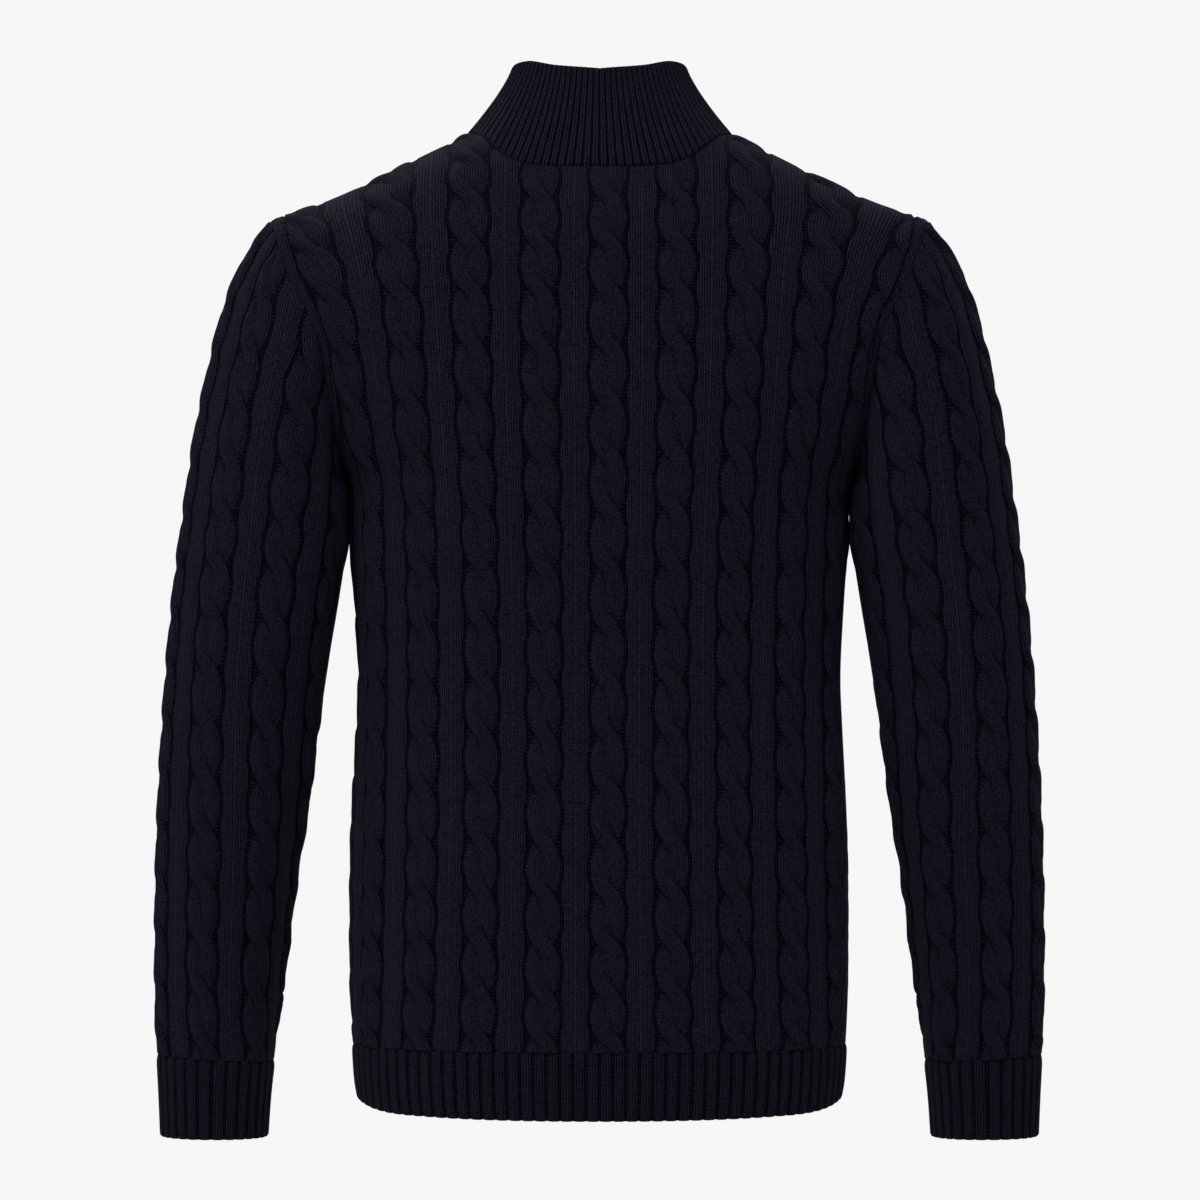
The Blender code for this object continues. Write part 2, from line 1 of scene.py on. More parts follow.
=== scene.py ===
"""Looks of the cable knit zip sweater: knitted relief, ribs, zip and finishes, round the CAD frame.

+Z up, the zip faces -Y, the wearer's left arm is at +X. Tables are in millimetres.
"""
import math

import bpy
import numpy as np
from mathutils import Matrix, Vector


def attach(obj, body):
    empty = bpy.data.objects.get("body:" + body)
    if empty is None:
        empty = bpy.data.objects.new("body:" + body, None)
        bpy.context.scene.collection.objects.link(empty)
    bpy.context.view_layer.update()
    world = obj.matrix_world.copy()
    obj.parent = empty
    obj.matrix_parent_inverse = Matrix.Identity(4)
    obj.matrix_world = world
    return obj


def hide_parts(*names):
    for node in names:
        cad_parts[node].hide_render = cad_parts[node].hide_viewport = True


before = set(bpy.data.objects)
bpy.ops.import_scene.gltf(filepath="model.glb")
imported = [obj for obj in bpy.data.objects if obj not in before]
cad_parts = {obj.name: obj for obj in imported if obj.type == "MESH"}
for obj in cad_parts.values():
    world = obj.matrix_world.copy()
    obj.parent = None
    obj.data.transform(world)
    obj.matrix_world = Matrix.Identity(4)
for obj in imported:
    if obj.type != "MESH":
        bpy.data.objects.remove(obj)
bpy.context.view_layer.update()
bpy.ops.object.select_all(action="DESELECT")

MM = 0.001
BACK, FRONT = 2, 3          # columns of the tables that have a back and a front

# ---------------------------------------------------------------- the garment's form
HEM_Z = -695.5
RIB_TOP_Z = -649.0
ARMPIT_Z = -245.0
SIDE_Y = -8.0
RIDGE_Y = -5.0
RIDGE_ROUND = 95.0
SECTION_POWER = 2.6
NECK_HALF = 96.5
NECK_DEPTH = 73.0
NECK_BACK = 71.0
NECK_SHARE = 0.40
SHOULDER_X = 236.0
SHOULDER_SEAM = -4.0
SEAM = 0.25
WALL = 2.8
COLLAR_WALL = 5.0
ZIP_HALF = 8.0
ZIP_BOTTOM_Z = -236.0
PULL_HINGE = (0.0, -67.408, -9.134)   # the joint of the pull tab
PULL_OUT = (0.0, -0.99884, 0.0482)    # out from the chest there
SLEEVE_SQUARE = 2.15
CAP_FADE = 5.0
SLEEVE_TUCK = 1.2           # the sleeve's top goes this far into the body's panels

TORSO = (
    # z, half, back, front
    (-696.0, 172.5, 84.0, -112.0),
    (-684.0, 174.5, 86.5, -115.0),
    (-649.0, 176.5, 88.0, -118.0),
    (-590.0, 178.6, 88.0, -119.0),
    (-503.0, 178.0, 84.0, -118.0),
    (-417.0, 173.8, 79.0, -116.0),
    (-389.0, 172.8, 79.0, -116.0),
    (-331.0, 175.5, 84.0, -118.0),
    (-290.0, 178.8, 89.0, -120.0),
    (-245.0, 182.0, 93.0, -121.5),
    (-228.0, 193.0, 94.0, -122.0),
    (-193.0, 218.0, 95.5, -122.0),
    (-160.0, 245.0, 96.0, -119.5),
    (-120.0, 275.0, 96.0, -114.0),
    (-90.0, 290.0, 95.0, -107.5),
    (-50.0, 300.0, 93.0, -98.0),
    (10.0, 305.0, 90.0, -88.0),
)
RIDGE = (
    # x, back, front
    (0.0, 4.5, -50.0),
    (30.0, 4.2, -44.0),
    (60.0, 3.6, -29.0),
    (80.0, 3.0, -13.0),
    (94.0, 1.2, 1.2),
    (108.0, -5.0, -5.0),
    (125.0, -13.0, -13.0),
    (156.0, -28.5, -28.5),
    (194.0, -45.5, -45.5),
    (224.0, -56.0, -56.0),
    (238.0, -61.0, -61.0),
    (260.0, -78.0, -78.0),
)
ARMHOLE = (
    # z, back, front
    (-245.0, 182.0, 182.0),
    (-228.0, 185.5, 183.0),
    (-193.0, 190.5, 184.5),
    (-172.0, 194.5, 186.5),
    (-147.0, 199.0, 190.5),
    (-125.0, 207.5, 199.0),
    (-103.0, 219.0, 213.0),
    (-68.0, 232.0, 231.5),
    (-56.0, 236.0, 236.0),
)
SLEEVE = (
    # ring, outer_x, outer_z, inner_x, inner_z, middle_y, half_depth
    (0, 236.5, -58.5, 182.6, -245.3, -4.0, 70.0),
    (1, 249.0, -75.0, 183.2, -251.5, -4.0, 72.5),
    (2, 261.5, -99.0, 182.8, -260.0, -5.0, 73.5),
    (3, 272.0, -131.0, 182.2, -272.0, -6.0, 73.0),
    (4, 281.0, -170.0, 181.8, -286.0, -7.0, 71.0),
    (5, 289.5, -212.0, 183.0, -304.0, -8.0, 69.0),
    (6, 296.5, -260.0, 187.0, -330.0, -9.0, 66.5),
    (7, 303.5, -312.0, 192.5, -361.0, -10.0, 64.0),
    (8, 309.0, -364.0, 196.8, -388.0, -12.0, 61.0),
    (9, 313.3, -418.0, 203.2, -430.0, -15.0, 57.5),
    (10, 316.8, -470.0, 211.0, -481.0, -20.0, 54.0),
    (11, 319.2, -523.0, 219.4, -532.0, -26.0, 50.0),
    (12, 320.5, -580.0, 226.6, -587.0, -33.0, 45.5),
    (13, 320.7, -625.0, 232.2, -631.0, -38.0, 42.0),
    (14, 319.9, -659.0, 235.6, -663.5, -42.0, 38.5),
)
CUFF = (
    # ring, outer_x, outer_z, inner_x, inner_z, middle_y, half_depth
    (0, 319.7, -659.6, 235.7, -664.1, -42.0, 38.4),
    (1, 318.4, -689.0, 238.8, -691.0, -45.0, 36.0),
    (2, 317.4, -719.5, 241.0, -720.0, -48.0, 34.5),
)
COLLAR_RIM = (
    # angle, z
    (0.0, 44.5),
    (30.0, 47.5),
    (58.0, 52.0),
    (90.0, 48.5),
    (120.0, 34.0),
    (150.0, 12.0),
    (180.0, 0.0),
)
RIM_HALF = 62.0
RIM_BACK = 51.0
RIM_FRONT = -62.0
COLLAR_FLARE = (1.3, 1.6)   # how the collar narrows upwards at the back and at the front
ZIP_ANGLE = math.pi - math.asin(ZIP_HALF / NECK_HALF)

# ---------------------------------------------------------------- the knitting
COLUMN = 45.0               # one cable and one plain panel, unstretched
REPEAT = 38.5               # one cable crossing to the next
COURSES = 14                # rows of stitches in a repeat
WALE = 3.4                  # width of one stitch
STRAND_SWING = 5.55         # how far a strand's middle lies from the cable's middle
STRAND_WIDE = 6.25          # half the width of one strand between crossings
STRAND_NARROW = 5.55        # and where it crosses
STRAND_HIGH = 2.0
CROSS_OVER = 1.1            # how far the front strand rises where the strands cross
CROSS_UNDER = 1.8           # how far the back strand sinks there
TUCK = 1.0                  # and how much more beside the front strand
CROSS_SHARP = 1.45
GROUND = -1.4               # the purl stitches beside a cable
PANEL_EDGE = 13.8           # the plain panel starts this far from the cable's middle
PINCH = 1.8                 # and this much nearer where the strands cross
BORDER = 7.4                # plain stripe along the armhole
NO_BORDER = 100.0           # said where there is no such stripe near
FLAT_AT_SEAM = 0.5          # how much of the relief is pressed flat along shoulders and ribs
SHOULDER_REACH = 34.0       # how far from the shoulder seam that reaches
RIB_REACH = 13.0            # and how far from the ribs
SEAM_ROLL = 3.2             # an edge rolls in to its seam over this distance
SEAM_SINK = 0.2             # and sinks this far there
RIB_START = 2.4             # at the ribs it has this much of that distance to go
CUP = 2.4                   # how round the strands and the ribs are: 2 is a circle
PER_RIB = 8                 # steps of the grid across a rib
RIB_COURSE = 2.6            # height of a row of stitches in the ribs
SIDE_FLAT = 0.6             # how much of the relief is lost at the side seams
SIDE_REACH = 34.0           # and how far from them that reaches
UNDERARM_FLAT = 0.8         # and at the sleeve's own seam, near the armpit
UNDERARM_Z = -360.0         # from this height up
TOUCH_Z = -312.0            # the sleeve starts to lie close to the body at this height
TOUCH_GAP = 2.0             # and stays this far from it
UNEVEN = (
    # how far the crossings stray up and down, in repeats, how often, and where that starts
    (0.035, 2.1, 0.6),
    (0.02, 5.3, 0.0),
)
HEM_HIGH, CUFF_HIGH, COLLAR_HIGH = 1.9, 1.8, 1.05      # heights of the ribs
STEP = 6                    # the inner face keeps one in so many rows and columns
PANEL_POINTS, LOWER_ROWS, UPPER_ROWS = 481, 208, 121   # the panels' grid
SLEEVE_POINTS, SLEEVE_ROWS = 721, 322                  # and the sleeves'

# How the knitting is stretched on the body: height, width of a column, and how much wider
# the columns get towards the sides.
STRETCH = (
    # z, column, sideways
    (-649.0, 46.4, 0.0),
    (-600.0, 45.6, 0.0),
    (-560.0, 45.3, 0.0),
    (-500.0, 44.8, 0.0),
    (-400.0, 44.6, 0.0),
    (-330.0, 44.8, 0.0),
    (-260.0, 46.0, -0.01),
    (-190.0, 47.4, -0.01),
    (-140.0, 48.0, 0.0),
    (-90.0, 47.8, 0.05),
    (-40.0, 47.3, 0.10),
    (10.0, 47.2, 0.10),
)
SLEEVE_STRETCH = (
    # z, column
    (-664.0, 39.0),
    (-610.0, 40.4),
    (-503.0, 44.2),
    (-403.0, 44.8),
    (-320.0, 46.2),
    (-245.0, 48.2),
    (-195.0, 49.8),
    (-60.0, 50.5),
)
# Heights of the cable crossings, from the hem rib up.
CROSSINGS = (-669.5, -637.9, -606.4, -572.1, -536.5, -500.8, -463.0, -425.9, -388.2, -349.0,
             -307.7, -268.5, -229.4, -190.9, -153.1, -114.7, -81.8, -46.1, -9.0, 28.0)
BACK_SHIFT = -0.13          # the back's middle cable lies this share of a column to the right

# Where the outer and the inner face lie on the baking map: start and share of its height.
CLOTH_MAPS = ((0.01, 0.70), (0.74, 0.25))
RIB_MAPS = ((0.01, 0.47), (0.51, 0.47))

# ---------------------------------------------------------------- colours, camera and lights
# The navy yarn in painted shade and in open light: the two ends of each colour ramp.
NAVY = ((0.0008, 0.0009, 0.0021), (0.0092, 0.0096, 0.0196))
RIB_NAVY = ((0.0004, 0.0005, 0.0012), (0.0077, 0.0081, 0.0163))
NECK_NAVY = ((0.0007, 0.0008, 0.0020), (0.0094, 0.0100, 0.0200))
CAMERA_AWAY = 3.8
SEEN_WIDTH = 1200 * 0.716 * MM     # the picture's width in pixels times a pixel's at the garment
LIT = (0.0, 0.0, -0.3)
LIGHTS = (
    # name, place, size, power
    ("key", (0.9, 2.0, 2.6), 1.5, 120.0),
    ("key_right", (-2.4, 2.2, 1.2), 1.5, 30.0),
    ("key_left", (2.8, 1.6, 0.6), 1.5, 26.0),
    ("front_top", (0.8, -2.4, 2.2), 1.6, 80.0),
    ("front_side", (-2.2, -2.6, 0.8), 1.6, 30.0),
)


def smooth(table, column, at):
    """The value of a table's column at a place between its rows, without overshoot."""
    rows = np.array(table)
    place, value = rows[:, 0], rows[:, column]
    steps = np.diff(value) / np.diff(place)
    slope = np.concatenate([[steps[0]], (steps[1:] + steps[:-1]) / 2, [steps[-1]]])
    turns = np.concatenate([[False], steps[1:] * steps[:-1] <= 0, [False]])
    slope[turns] = 0.0
    at = np.clip(at, place[0], place[-1])
    row = np.clip(np.searchsorted(place, at, side="right") - 1, 0, len(place) - 2)
    width = place[row + 1] - place[row]
    f = (at - place[row]) / width
    rise = value[row] * (2 * f**3 - 3 * f**2 + 1) + value[row + 1] * (3 * f**2 - 2 * f**3)
    lean = slope[row] * (f**3 - 2 * f**2 + f) + slope[row + 1] * (f**3 - f**2)
    return rise + lean * width


def soft_step(value):
    """0 to 1 with smooth ends."""
    value = np.clip(value, 0.0, 1.0)
    return value * value * (3 - 2 * value)


def unit(vectors):
    """Vectors of length one."""
    return vectors / np.maximum(np.linalg.norm(vectors, axis=-1, keepdims=True), 1e-9)


def full_depth(x, z, side):
    """Y of the torso's level section at a distance from the middle."""
    across = np.clip(np.abs(x) / smooth(TORSO, 1, z), 0, 1)
    return SIDE_Y + (smooth(TORSO, side, z) - SIDE_Y) * np.sqrt(1 - across**SECTION_POWER)


def torso_side(x, below, side):
    """Points on one side of the shoulder ridge, a distance below it."""
    ridge = smooth(RIDGE, side - 1, np.abs(x))
    turn = np.minimum(below / RIDGE_ROUND, 1.0) * math.pi / 2
    z = ridge - RIDGE_ROUND * (1 - np.cos(turn)) - np.maximum(below - RIDGE_ROUND, 0.0)
    y = RIDGE_Y + (full_depth(x, z, side) - RIDGE_Y) * np.sin(turn)
    return np.stack([x, y, z], axis=-1)


def torso_points(x, below, side):
    """Points on the torso; a negative distance lies past the ridge, on the other side."""
    x, below = np.broadcast_arrays(x, below)
    near = torso_side(x, np.abs(below), side)
    far = torso_side(x, np.abs(below), 5 - side)
    return np.where((below < 0)[..., None], far, near)


def below_ridge(x, z, side):
    """How far below the ridge a height is, in the measure of torso_points."""
    drop = smooth(RIDGE, side - 1, np.abs(x)) - z
    turn = np.arccos(1 - np.clip(drop / RIDGE_ROUND, 0, 1)) * 2 / math.pi
    return np.where(drop >= RIDGE_ROUND, drop, RIDGE_ROUND * turn)


def shoulder_seam(side):
    """Where the shoulder seam lies, in the measure of torso_points."""
    return SHOULDER_SEAM if side == BACK else -SHOULDER_SEAM


def neck_seam(angle, side):
    """X and the distance below the ridge of the neck seam, at angles from its middle."""
    x = NECK_HALF * np.sin(angle)
    reach = NECK_DEPTH * np.cos(angle)
    if side == BACK:
        reach = NECK_BACK * np.sqrt(1 - np.abs(np.sin(angle)) ** 4)
    below = np.zeros_like(x)
    for _ in range(4):
        z = torso_side(x, below, side)[..., 2]
        depth = np.abs(full_depth(x, z, side) - RIDGE_Y)
        below = np.arcsin(np.clip(reach / depth, 0, 1)) * 2 / math.pi * RIDGE_ROUND
    corner = (np.abs(x) / NECK_HALF) ** 8
    return x, below * (1 - corner) + shoulder_seam(side) * corner


def level_share(fraction, side):
    """Share of the half width at fractions of the way along a level section."""
    x = np.sin(np.linspace(0, math.pi / 2, 400)) ** (2 / SECTION_POWER)
    half = smooth(TORSO, 1, ARMPIT_Z)
    y = full_depth(x * half, ARMPIT_Z, side)
    run = np.concatenate([[0], np.cumsum(np.hypot(np.diff(x * half), np.diff(y)))])
    return np.interp(np.abs(fraction) * run[-1], run, x) * np.sign(fraction)


def level_arc(x, z, side, roll):
    """Length of the torso's level section from its middle to a point."""
    half = smooth(TORSO, 1, z)
    depth = (smooth(TORSO, side, z) - SIDE_Y) * np.clip(roll, 0, 1)
    end = np.arcsin(np.clip(np.abs(x) / half, 0, 1) ** (SECTION_POWER / 2))
    length = np.zeros_like(x)
    last_x, last_y = np.zeros_like(x), depth
    for share in np.linspace(0, 1, 25)[1:]:
        now_x = half * np.sin(end * share) ** (2 / SECTION_POWER)
        now_y = depth * np.cos(end * share)
        length += np.hypot(now_x - last_x, now_y - last_y)
        last_x, last_y = now_x, now_y
    return length * np.sign(x)


def edge_x(climb, side):
    """Distance from the middle of the armhole edge, at shares of the way up."""
    half = smooth(TORSO, 1, ARMPIT_Z)
    start = below_ridge(half, ARMPIT_Z, side)
    below = start + (shoulder_seam(side) - start) * climb
    x = half + (SHOULDER_X - half) * climb
    for _ in range(12):
        x = smooth(ARMHOLE, side - 1, torso_points(x, below, side)[..., 2])
    return x


def upper_rows(fraction, climb, side):
    """Points of a panel above the armpit, by climb and fraction."""
    share = level_share(fraction, side)
    sign = np.sign(fraction)
    start_x = share * smooth(TORSO, 1, ARMPIT_Z)
    start = below_ridge(start_x, np.full_like(start_x, ARMPIT_Z), side)
    neck_x, neck_top = neck_seam(np.clip(fraction / NECK_SHARE, -1, 1) * math.pi / 2, side)
    along = (np.abs(fraction) - NECK_SHARE) / (1 - NECK_SHARE)
    on_neck = along <= 0
    top_x = np.where(on_neck, neck_x, sign * (NECK_HALF + (SHOULDER_X - NECK_HALF) * along))
    top = np.where(on_neck, neck_top, shoulder_seam(side))
    climb = climb[:, None]
    below = start + (top - start) * climb
    x = edge_x(climb, side) * (share + (top_x / SHOULDER_X - share) * climb**1.5)
    return torso_points(x, below, side)


def lower_rows(fraction, z, side):
    """Points of a panel or hem on level sections, by height and fraction."""
    x = level_share(fraction, side) * smooth(TORSO, 1, z)[:, None]
    return np.stack([x, full_depth(x, z[:, None], side), np.broadcast_to(z[:, None], x.shape)], -1)


def armhole_curve(angle):
    """The armhole of the left arm: angle 0 at the top, positive at the back, pi at the armpit."""
    climb = (1 + np.cos(angle)) / 2
    points = [upper_rows(np.array([1.0]), climb, side)[:, 0] for side in (BACK, FRONT)]
    return np.where((angle >= 0)[:, None], points[0], points[1])


def ring_points(table, ring, angle):
    """Points of a sleeve or cuff, by ring number and angle."""
    outer_x, outer_z, inner_x, inner_z, middle_y, depth = [
        smooth(table, column, ring)[:, None] for column in range(1, 7)]
    power = 2 / SLEEVE_SQUARE
    across = np.sign(np.cos(angle)) * np.abs(np.cos(angle)) ** power
    deep = np.sign(np.sin(angle)) * np.abs(np.sin(angle)) ** power
    x = (outer_x + inner_x) / 2 + (outer_x - inner_x) / 2 * across
    z = (outer_z + inner_z) / 2 + (outer_z - inner_z) / 2 * across
    return np.stack([x, middle_y + depth * deep, z], axis=-1)


def neck_loop(angle):
    """Points of the neck seam, at angles from the middle of the back."""
    behind = np.abs(angle) <= math.pi / 2
    folded = np.where(behind, angle, np.sign(angle) * (math.pi - np.abs(angle)))
    points = [torso_points(*neck_seam(folded, side), side) for side in (BACK, FRONT)]
    return np.where(behind[..., None], points[0], points[1])


def collar_points(base_angle, rise):
    """Points of the collar: rise 0 on the neck seam, 1 on the rim."""
    base = neck_loop(base_angle)
    angle = base_angle * (math.pi - math.asin(ZIP_HALF / RIM_HALF)) / ZIP_ANGLE
    reach = np.where(np.abs(angle) <= math.pi / 2, RIM_BACK, -RIM_FRONT)
    height = smooth(COLLAR_RIM, 1, np.abs(np.degrees(angle)))
    rim = np.stack([RIM_HALF * np.sin(angle), reach * np.cos(angle), height], axis=-1)
    rise = rise[:, None, None]
    front = soft_step((np.abs(np.degrees(angle)) - 90) / 60)[None, :, None]
    spread = (1 - rise) ** (COLLAR_FLARE[0] + (COLLAR_FLARE[1] - COLLAR_FLARE[0]) * front)
    weight = np.concatenate([spread, spread, np.broadcast_to(1 - rise, spread.shape)], axis=-1)
    return rim + (base - rim) * weight


def grid_normals(grid, outside):
    """Unit normals of a grid, turned to the side where outside, a rough direction, points."""
    normal = unit(np.cross(np.gradient(grid, axis=1), np.gradient(grid, axis=0)))
    return normal * np.sign(np.sum(normal * outside))


# ---------------------------------------------------------------- knitted relief
def cable_relief(u, v):
    """Height of the cable fabric: u in columns from a cable's middle, v in repeats, up."""
    t = ((u + 0.5) % 1.0 - 0.5) * COLUMN
    sine, cosine = np.sin(math.pi * v), np.cos(math.pi * v)
    bend = np.tanh(CROSS_SHARP * sine)
    scale = STRAND_SWING / math.tanh(CROSS_SHARP)
    slope = scale * CROSS_SHARP * math.pi * cosine * (1 - bend**2) / REPEAT
    cross = cosine**2
    half = STRAND_WIDE + (STRAND_NARROW - STRAND_WIDE) * cross
    offs = [(t - side * scale * bend) / np.sqrt(1 + slope**2) / half for side in (1, -1)]
    heights = []
    for side, off, other in ((1, *offs), (-1, *offs[::-1])):
        d = np.clip(np.abs(off), 0, 1)
        tuck = CROSS_UNDER + TUCK * np.clip((1.5 - np.abs(other)) / 0.5, 0, 1)
        lift = STRAND_HIGH + cross * np.where(side * cosine > 0, CROSS_OVER, -tuck)
        heights.append((lift - GROUND) * np.sqrt(1 - d**CUP) + GROUND)
    beside = PANEL_EDGE - PINCH * cross
    edge = (np.abs(t) - beside) / 2.2
    low = GROUND + 1.3 * cross * soft_step((beside - 0.6 - np.abs(t)) / 2.0)
    ground = low + (0.4 - low) * soft_step(edge)
    merge = 0.2 + 2.4 * (1 - cross) ** 2
    strands = np.maximum(heights[0], heights[1])
    strands += merge / 4 * np.clip(1 - np.abs(heights[0] - heights[1]) / merge, 0, 1) ** 2
    return np.maximum(strands, ground)


def knit_columns(limit, shift):
    """Column positions, in columns of fabric: close together on a cable, wider on plain."""
    cable = [(-14.0 + 1.4 * i) / COLUMN for i in range(21)]
    plain = [(14.0 + 3.4 * i) / COLUMN for i in range(1, 5)]
    count = int(limit) + 2
    places = sorted(k + shift + c for k in range(-count, count + 1) for c in cable + plain)
    return np.array([p for p in places if abs(p) < limit])


def resample(rows_u, columns, fields):
    """Reads fields given on dense rows at the wanted columns, held at each row's ends."""
    ends = np.stack([rows_u[:, 0], rows_u[:, -1]], axis=1)
    low, high = ends.min(axis=1)[:, None], ends.max(axis=1)[:, None]
    u = np.clip(columns[None, :], low, high)
    near = 0.6 / COLUMN
    u = np.where(u > high - near, high, np.where(u < low + near, low, u))
    u[:, 0] = low[:, 0]
    u[:, -1] = high[:, 0]
    made = []
    for field in fields:
        out = np.empty(u.shape + field.shape[2:])
        for i in range(len(u)):
            order = slice(None) if rows_u[i, -1] > rows_u[i, 0] else slice(None, None, -1)
            if field.ndim == 2:
                out[i] = np.interp(u[i], rows_u[i, order], field[i, order])
            else:
                for k in range(field.shape[2]):
                    out[i, :, k] = np.interp(u[i], rows_u[i, order], field[i, order, k])
        made.append(out)
    return u, low, high, made


def column_index(u, low, high):
    """Grid numbers in which columns past a row's ends share that row's end point."""
    rows, columns = u.shape
    first = (u <= low + 1e-9).sum(axis=1) - 1
    last = columns - (u >= high - 1e-9).sum(axis=1)
    place = np.clip(np.arange(columns)[None, :], first[:, None], last[:, None])
    return np.arange(rows)[:, None] * columns + place


def faces_from(index, slit=None):
    """Corner numbers of a grid's faces; slit is (row, left, right), open above that row."""
    a, b = index[:-1, :-1], index[:-1, 1:]
    c, d = index[1:, 1:], index[1:, :-1]
    keep = np.ones(a.shape, bool)
    if slit:
        keep[slit[0]:, slit[1]:slit[2]] = False
    faces = []
    for quad in np.stack([a, b, c, d], axis=-1)[keep]:
        corners = [quad[k] for k in range(4) if quad[k] != quad[k - 1]]
        if len(set(corners)) >= 3:
            faces.append([int(n) for n in corners])
    return faces


def outline(index, rows, columns, slit=None):
    """The grid's edge as runs of (point number, place), over chosen rows and columns."""
    right = [(index[i, -1], i) for i in rows]
    left = [(index[i, 0], i) for i in reversed(rows)]
    top = [(index[-1, j], j) for j in reversed(columns)]
    bottom = [(index[0, j], j) for j in columns]
    if not slit:
        return [bottom, right, top, left]
    row, near, far = slit
    down = [i for i in reversed(rows) if i >= row]
    return [bottom, right, [(index[-1, j], j) for j in reversed(columns) if j >= far],
            [(index[i, far], i) for i in down],
            [(index[row, j], j) for j in (far, near)],
            [(index[i, near], i) for i in reversed(down)],
            [(index[-1, j], j) for j in reversed(columns) if j <= near], left]


def lace(fine, coarse, offset):
    """Triangles that join a fine run of points to a coarse one with the same ends."""
    triangles = []
    i = j = 0
    way = 1 if fine[-1][1] > fine[0][1] else -1
    while i < len(fine) - 1 or j < len(coarse) - 1:
        ahead = i < len(fine) - 1 and (
            j == len(coarse) - 1 or way * fine[i + 1][1] <= way * coarse[j + 1][1])
        if ahead:
            corners = (fine[i][0], fine[i + 1][0], coarse[j][0] + offset)
            i += 1
        else:
            corners = (fine[i][0], coarse[j + 1][0] + offset, coarse[j][0] + offset)
            j += 1
        if len(set(corners)) == 3:
            triangles.append([int(n) for n in corners])
    return triangles


def chosen(count, step, wanted=()):
    """Every so many of a count, with the last and any wanted ones."""
    return sorted(set(range(0, count, step)) | {count - 1} | set(wanted))


def add_object(name, points, faces, materials, kinds, layers, fields):
    """A mesh object in metres, with UV maps by point and float fields by point."""
    mesh = bpy.data.meshes.new(name)
    used = np.unique(np.concatenate([np.array(f) for f in faces]))
    renumber = np.full(len(points), -1)
    renumber[used] = np.arange(len(used))
    mesh.from_pydata(points[used] * MM, [], [renumber[f].tolist() for f in faces])
    for made in materials:
        mesh.materials.append(made)
    mesh.polygons.foreach_set("material_index", kinds)
    corners = np.zeros(len(mesh.loops), int)
    mesh.loops.foreach_get("vertex_index", corners)
    for title, places in layers.items():
        layer = mesh.uv_layers.new(name=title)
        layer.data.foreach_set("uv", places[used][corners].astype(np.float32).ravel())
    for title, values in fields.items():
        layer = mesh.attributes.new(title, "FLOAT", "POINT")
        layer.data.foreach_set("value", values[used].astype(np.float32))
    mesh.shade_smooth()
    mesh.update()
    made = bpy.data.objects.new(name, mesh)
    bpy.context.scene.collection.objects.link(made)
    return made


def wall_mesh(name, sheets, parts, knit, materials, flip, maps, border=None):
    """A closed wall from its outer and inner points and its outer, inner and rim faces."""
    faces = [f[::-1] if flip else f for part in parts for f in part]
    outside, inside, rims = [len(part) for part in parts]
    kinds = [0] * outside + [len(materials) - 1] * inside + [0] * rims
    points = np.concatenate([sheet.reshape(-1, 3) for sheet in sheets])
    rows, columns = knit.shape[:2]
    across, up = np.meshgrid(np.linspace(0, 1, columns), np.linspace(0, 1, rows))
    bake = [np.stack([0.01 + 0.98 * across, start + share * up], -1).reshape(-1, 2)
            for start, share in maps]
    layers = {"knit": np.concatenate([knit.reshape(-1, 2)] * 2), "OFBake": np.concatenate(bake)}
    fields = {} if border is None else {"border": np.concatenate([border.reshape(-1)] * 2)}
    return add_object(name, points, faces, materials, kinds, layers, fields)


def cloth(name, base, normals, relief, knit, border, index, materials, slit=None, flip=False):
    """A closed cloth wall: a fine knitted outer face, a plainer inner one, and laced edges."""
    rows, columns = index.shape
    offset = rows * columns
    row_pick = chosen(rows, STEP, slit[:1] if slit else ())
    column_pick = chosen(columns, STEP, slit[1:] if slit else ())
    coarse_slit = None
    if slit:
        coarse_slit = (row_pick.index(slit[0]), *(column_pick.index(n) for n in slit[1:]))
    coarse = index[np.ix_(row_pick, column_pick)]
    inside = [[n + offset for n in reversed(f)] for f in faces_from(coarse, coarse_slit)]
    rims = []
    for fine, rough in zip(outline(index, range(rows), range(columns), slit),
                           outline(index, row_pick, column_pick, slit)):
        rims += [t[::-1] for t in lace(fine, rough, offset)]
    sheets = (base + normals * relief[..., None], base - normals * WALL)
    return wall_mesh(name, sheets, (faces_from(index, slit), inside, rims), knit, materials, flip,
                     CLOTH_MAPS, border)


def wall_grid(name, outer, inner, knit, materials, flip=False):
    """A closed wall with the same grid on both faces, for ribs and tapes."""
    rows, columns = outer.shape[:2]
    offset = rows * columns
    index = np.arange(offset).reshape(rows, columns)
    outside = faces_from(index)
    inside = [[n + offset for n in reversed(f)] for f in outside]
    loop = list(index[0]) + list(index[1:, -1]) + list(index[-1, -2::-1]) + list(index[-2:0:-1, 0])
    rims = [[int(loop[i]), int(loop[i - 1]), int(loop[i - 1] + offset), int(loop[i] + offset)]
            for i in range(len(loop))]
    return wall_mesh(name, (outer, inner), (outside, inside, rims), knit, materials, flip, RIB_MAPS)


# ---------------------------------------------------------------- cable knit pieces
def way_out(side):
    """The Y sign of a panel's outer side."""
    return 1.0 if side == BACK else -1.0


def tube_normals(grid):
    """Normals of a grid that runs round a tube, away from each row's middle."""
    return grid_normals(grid, grid - grid.mean(axis=1, keepdims=True))


def climb_along(grid):
    """How far each point lies along the cloth from the grid's first row and from its last."""
    step = np.linalg.norm(np.diff(grid, axis=0), axis=2)
    climbed = np.concatenate([np.zeros((1, grid.shape[1])), np.cumsum(step, axis=0)])
    return climbed, climbed[-1:] - climbed


def pressed(distance, reach, flat=FLAT_AT_SEAM):
    """1 away from a seam, and less where the seam presses the relief flat."""
    return 1 - flat * (1 - soft_step(distance / reach))


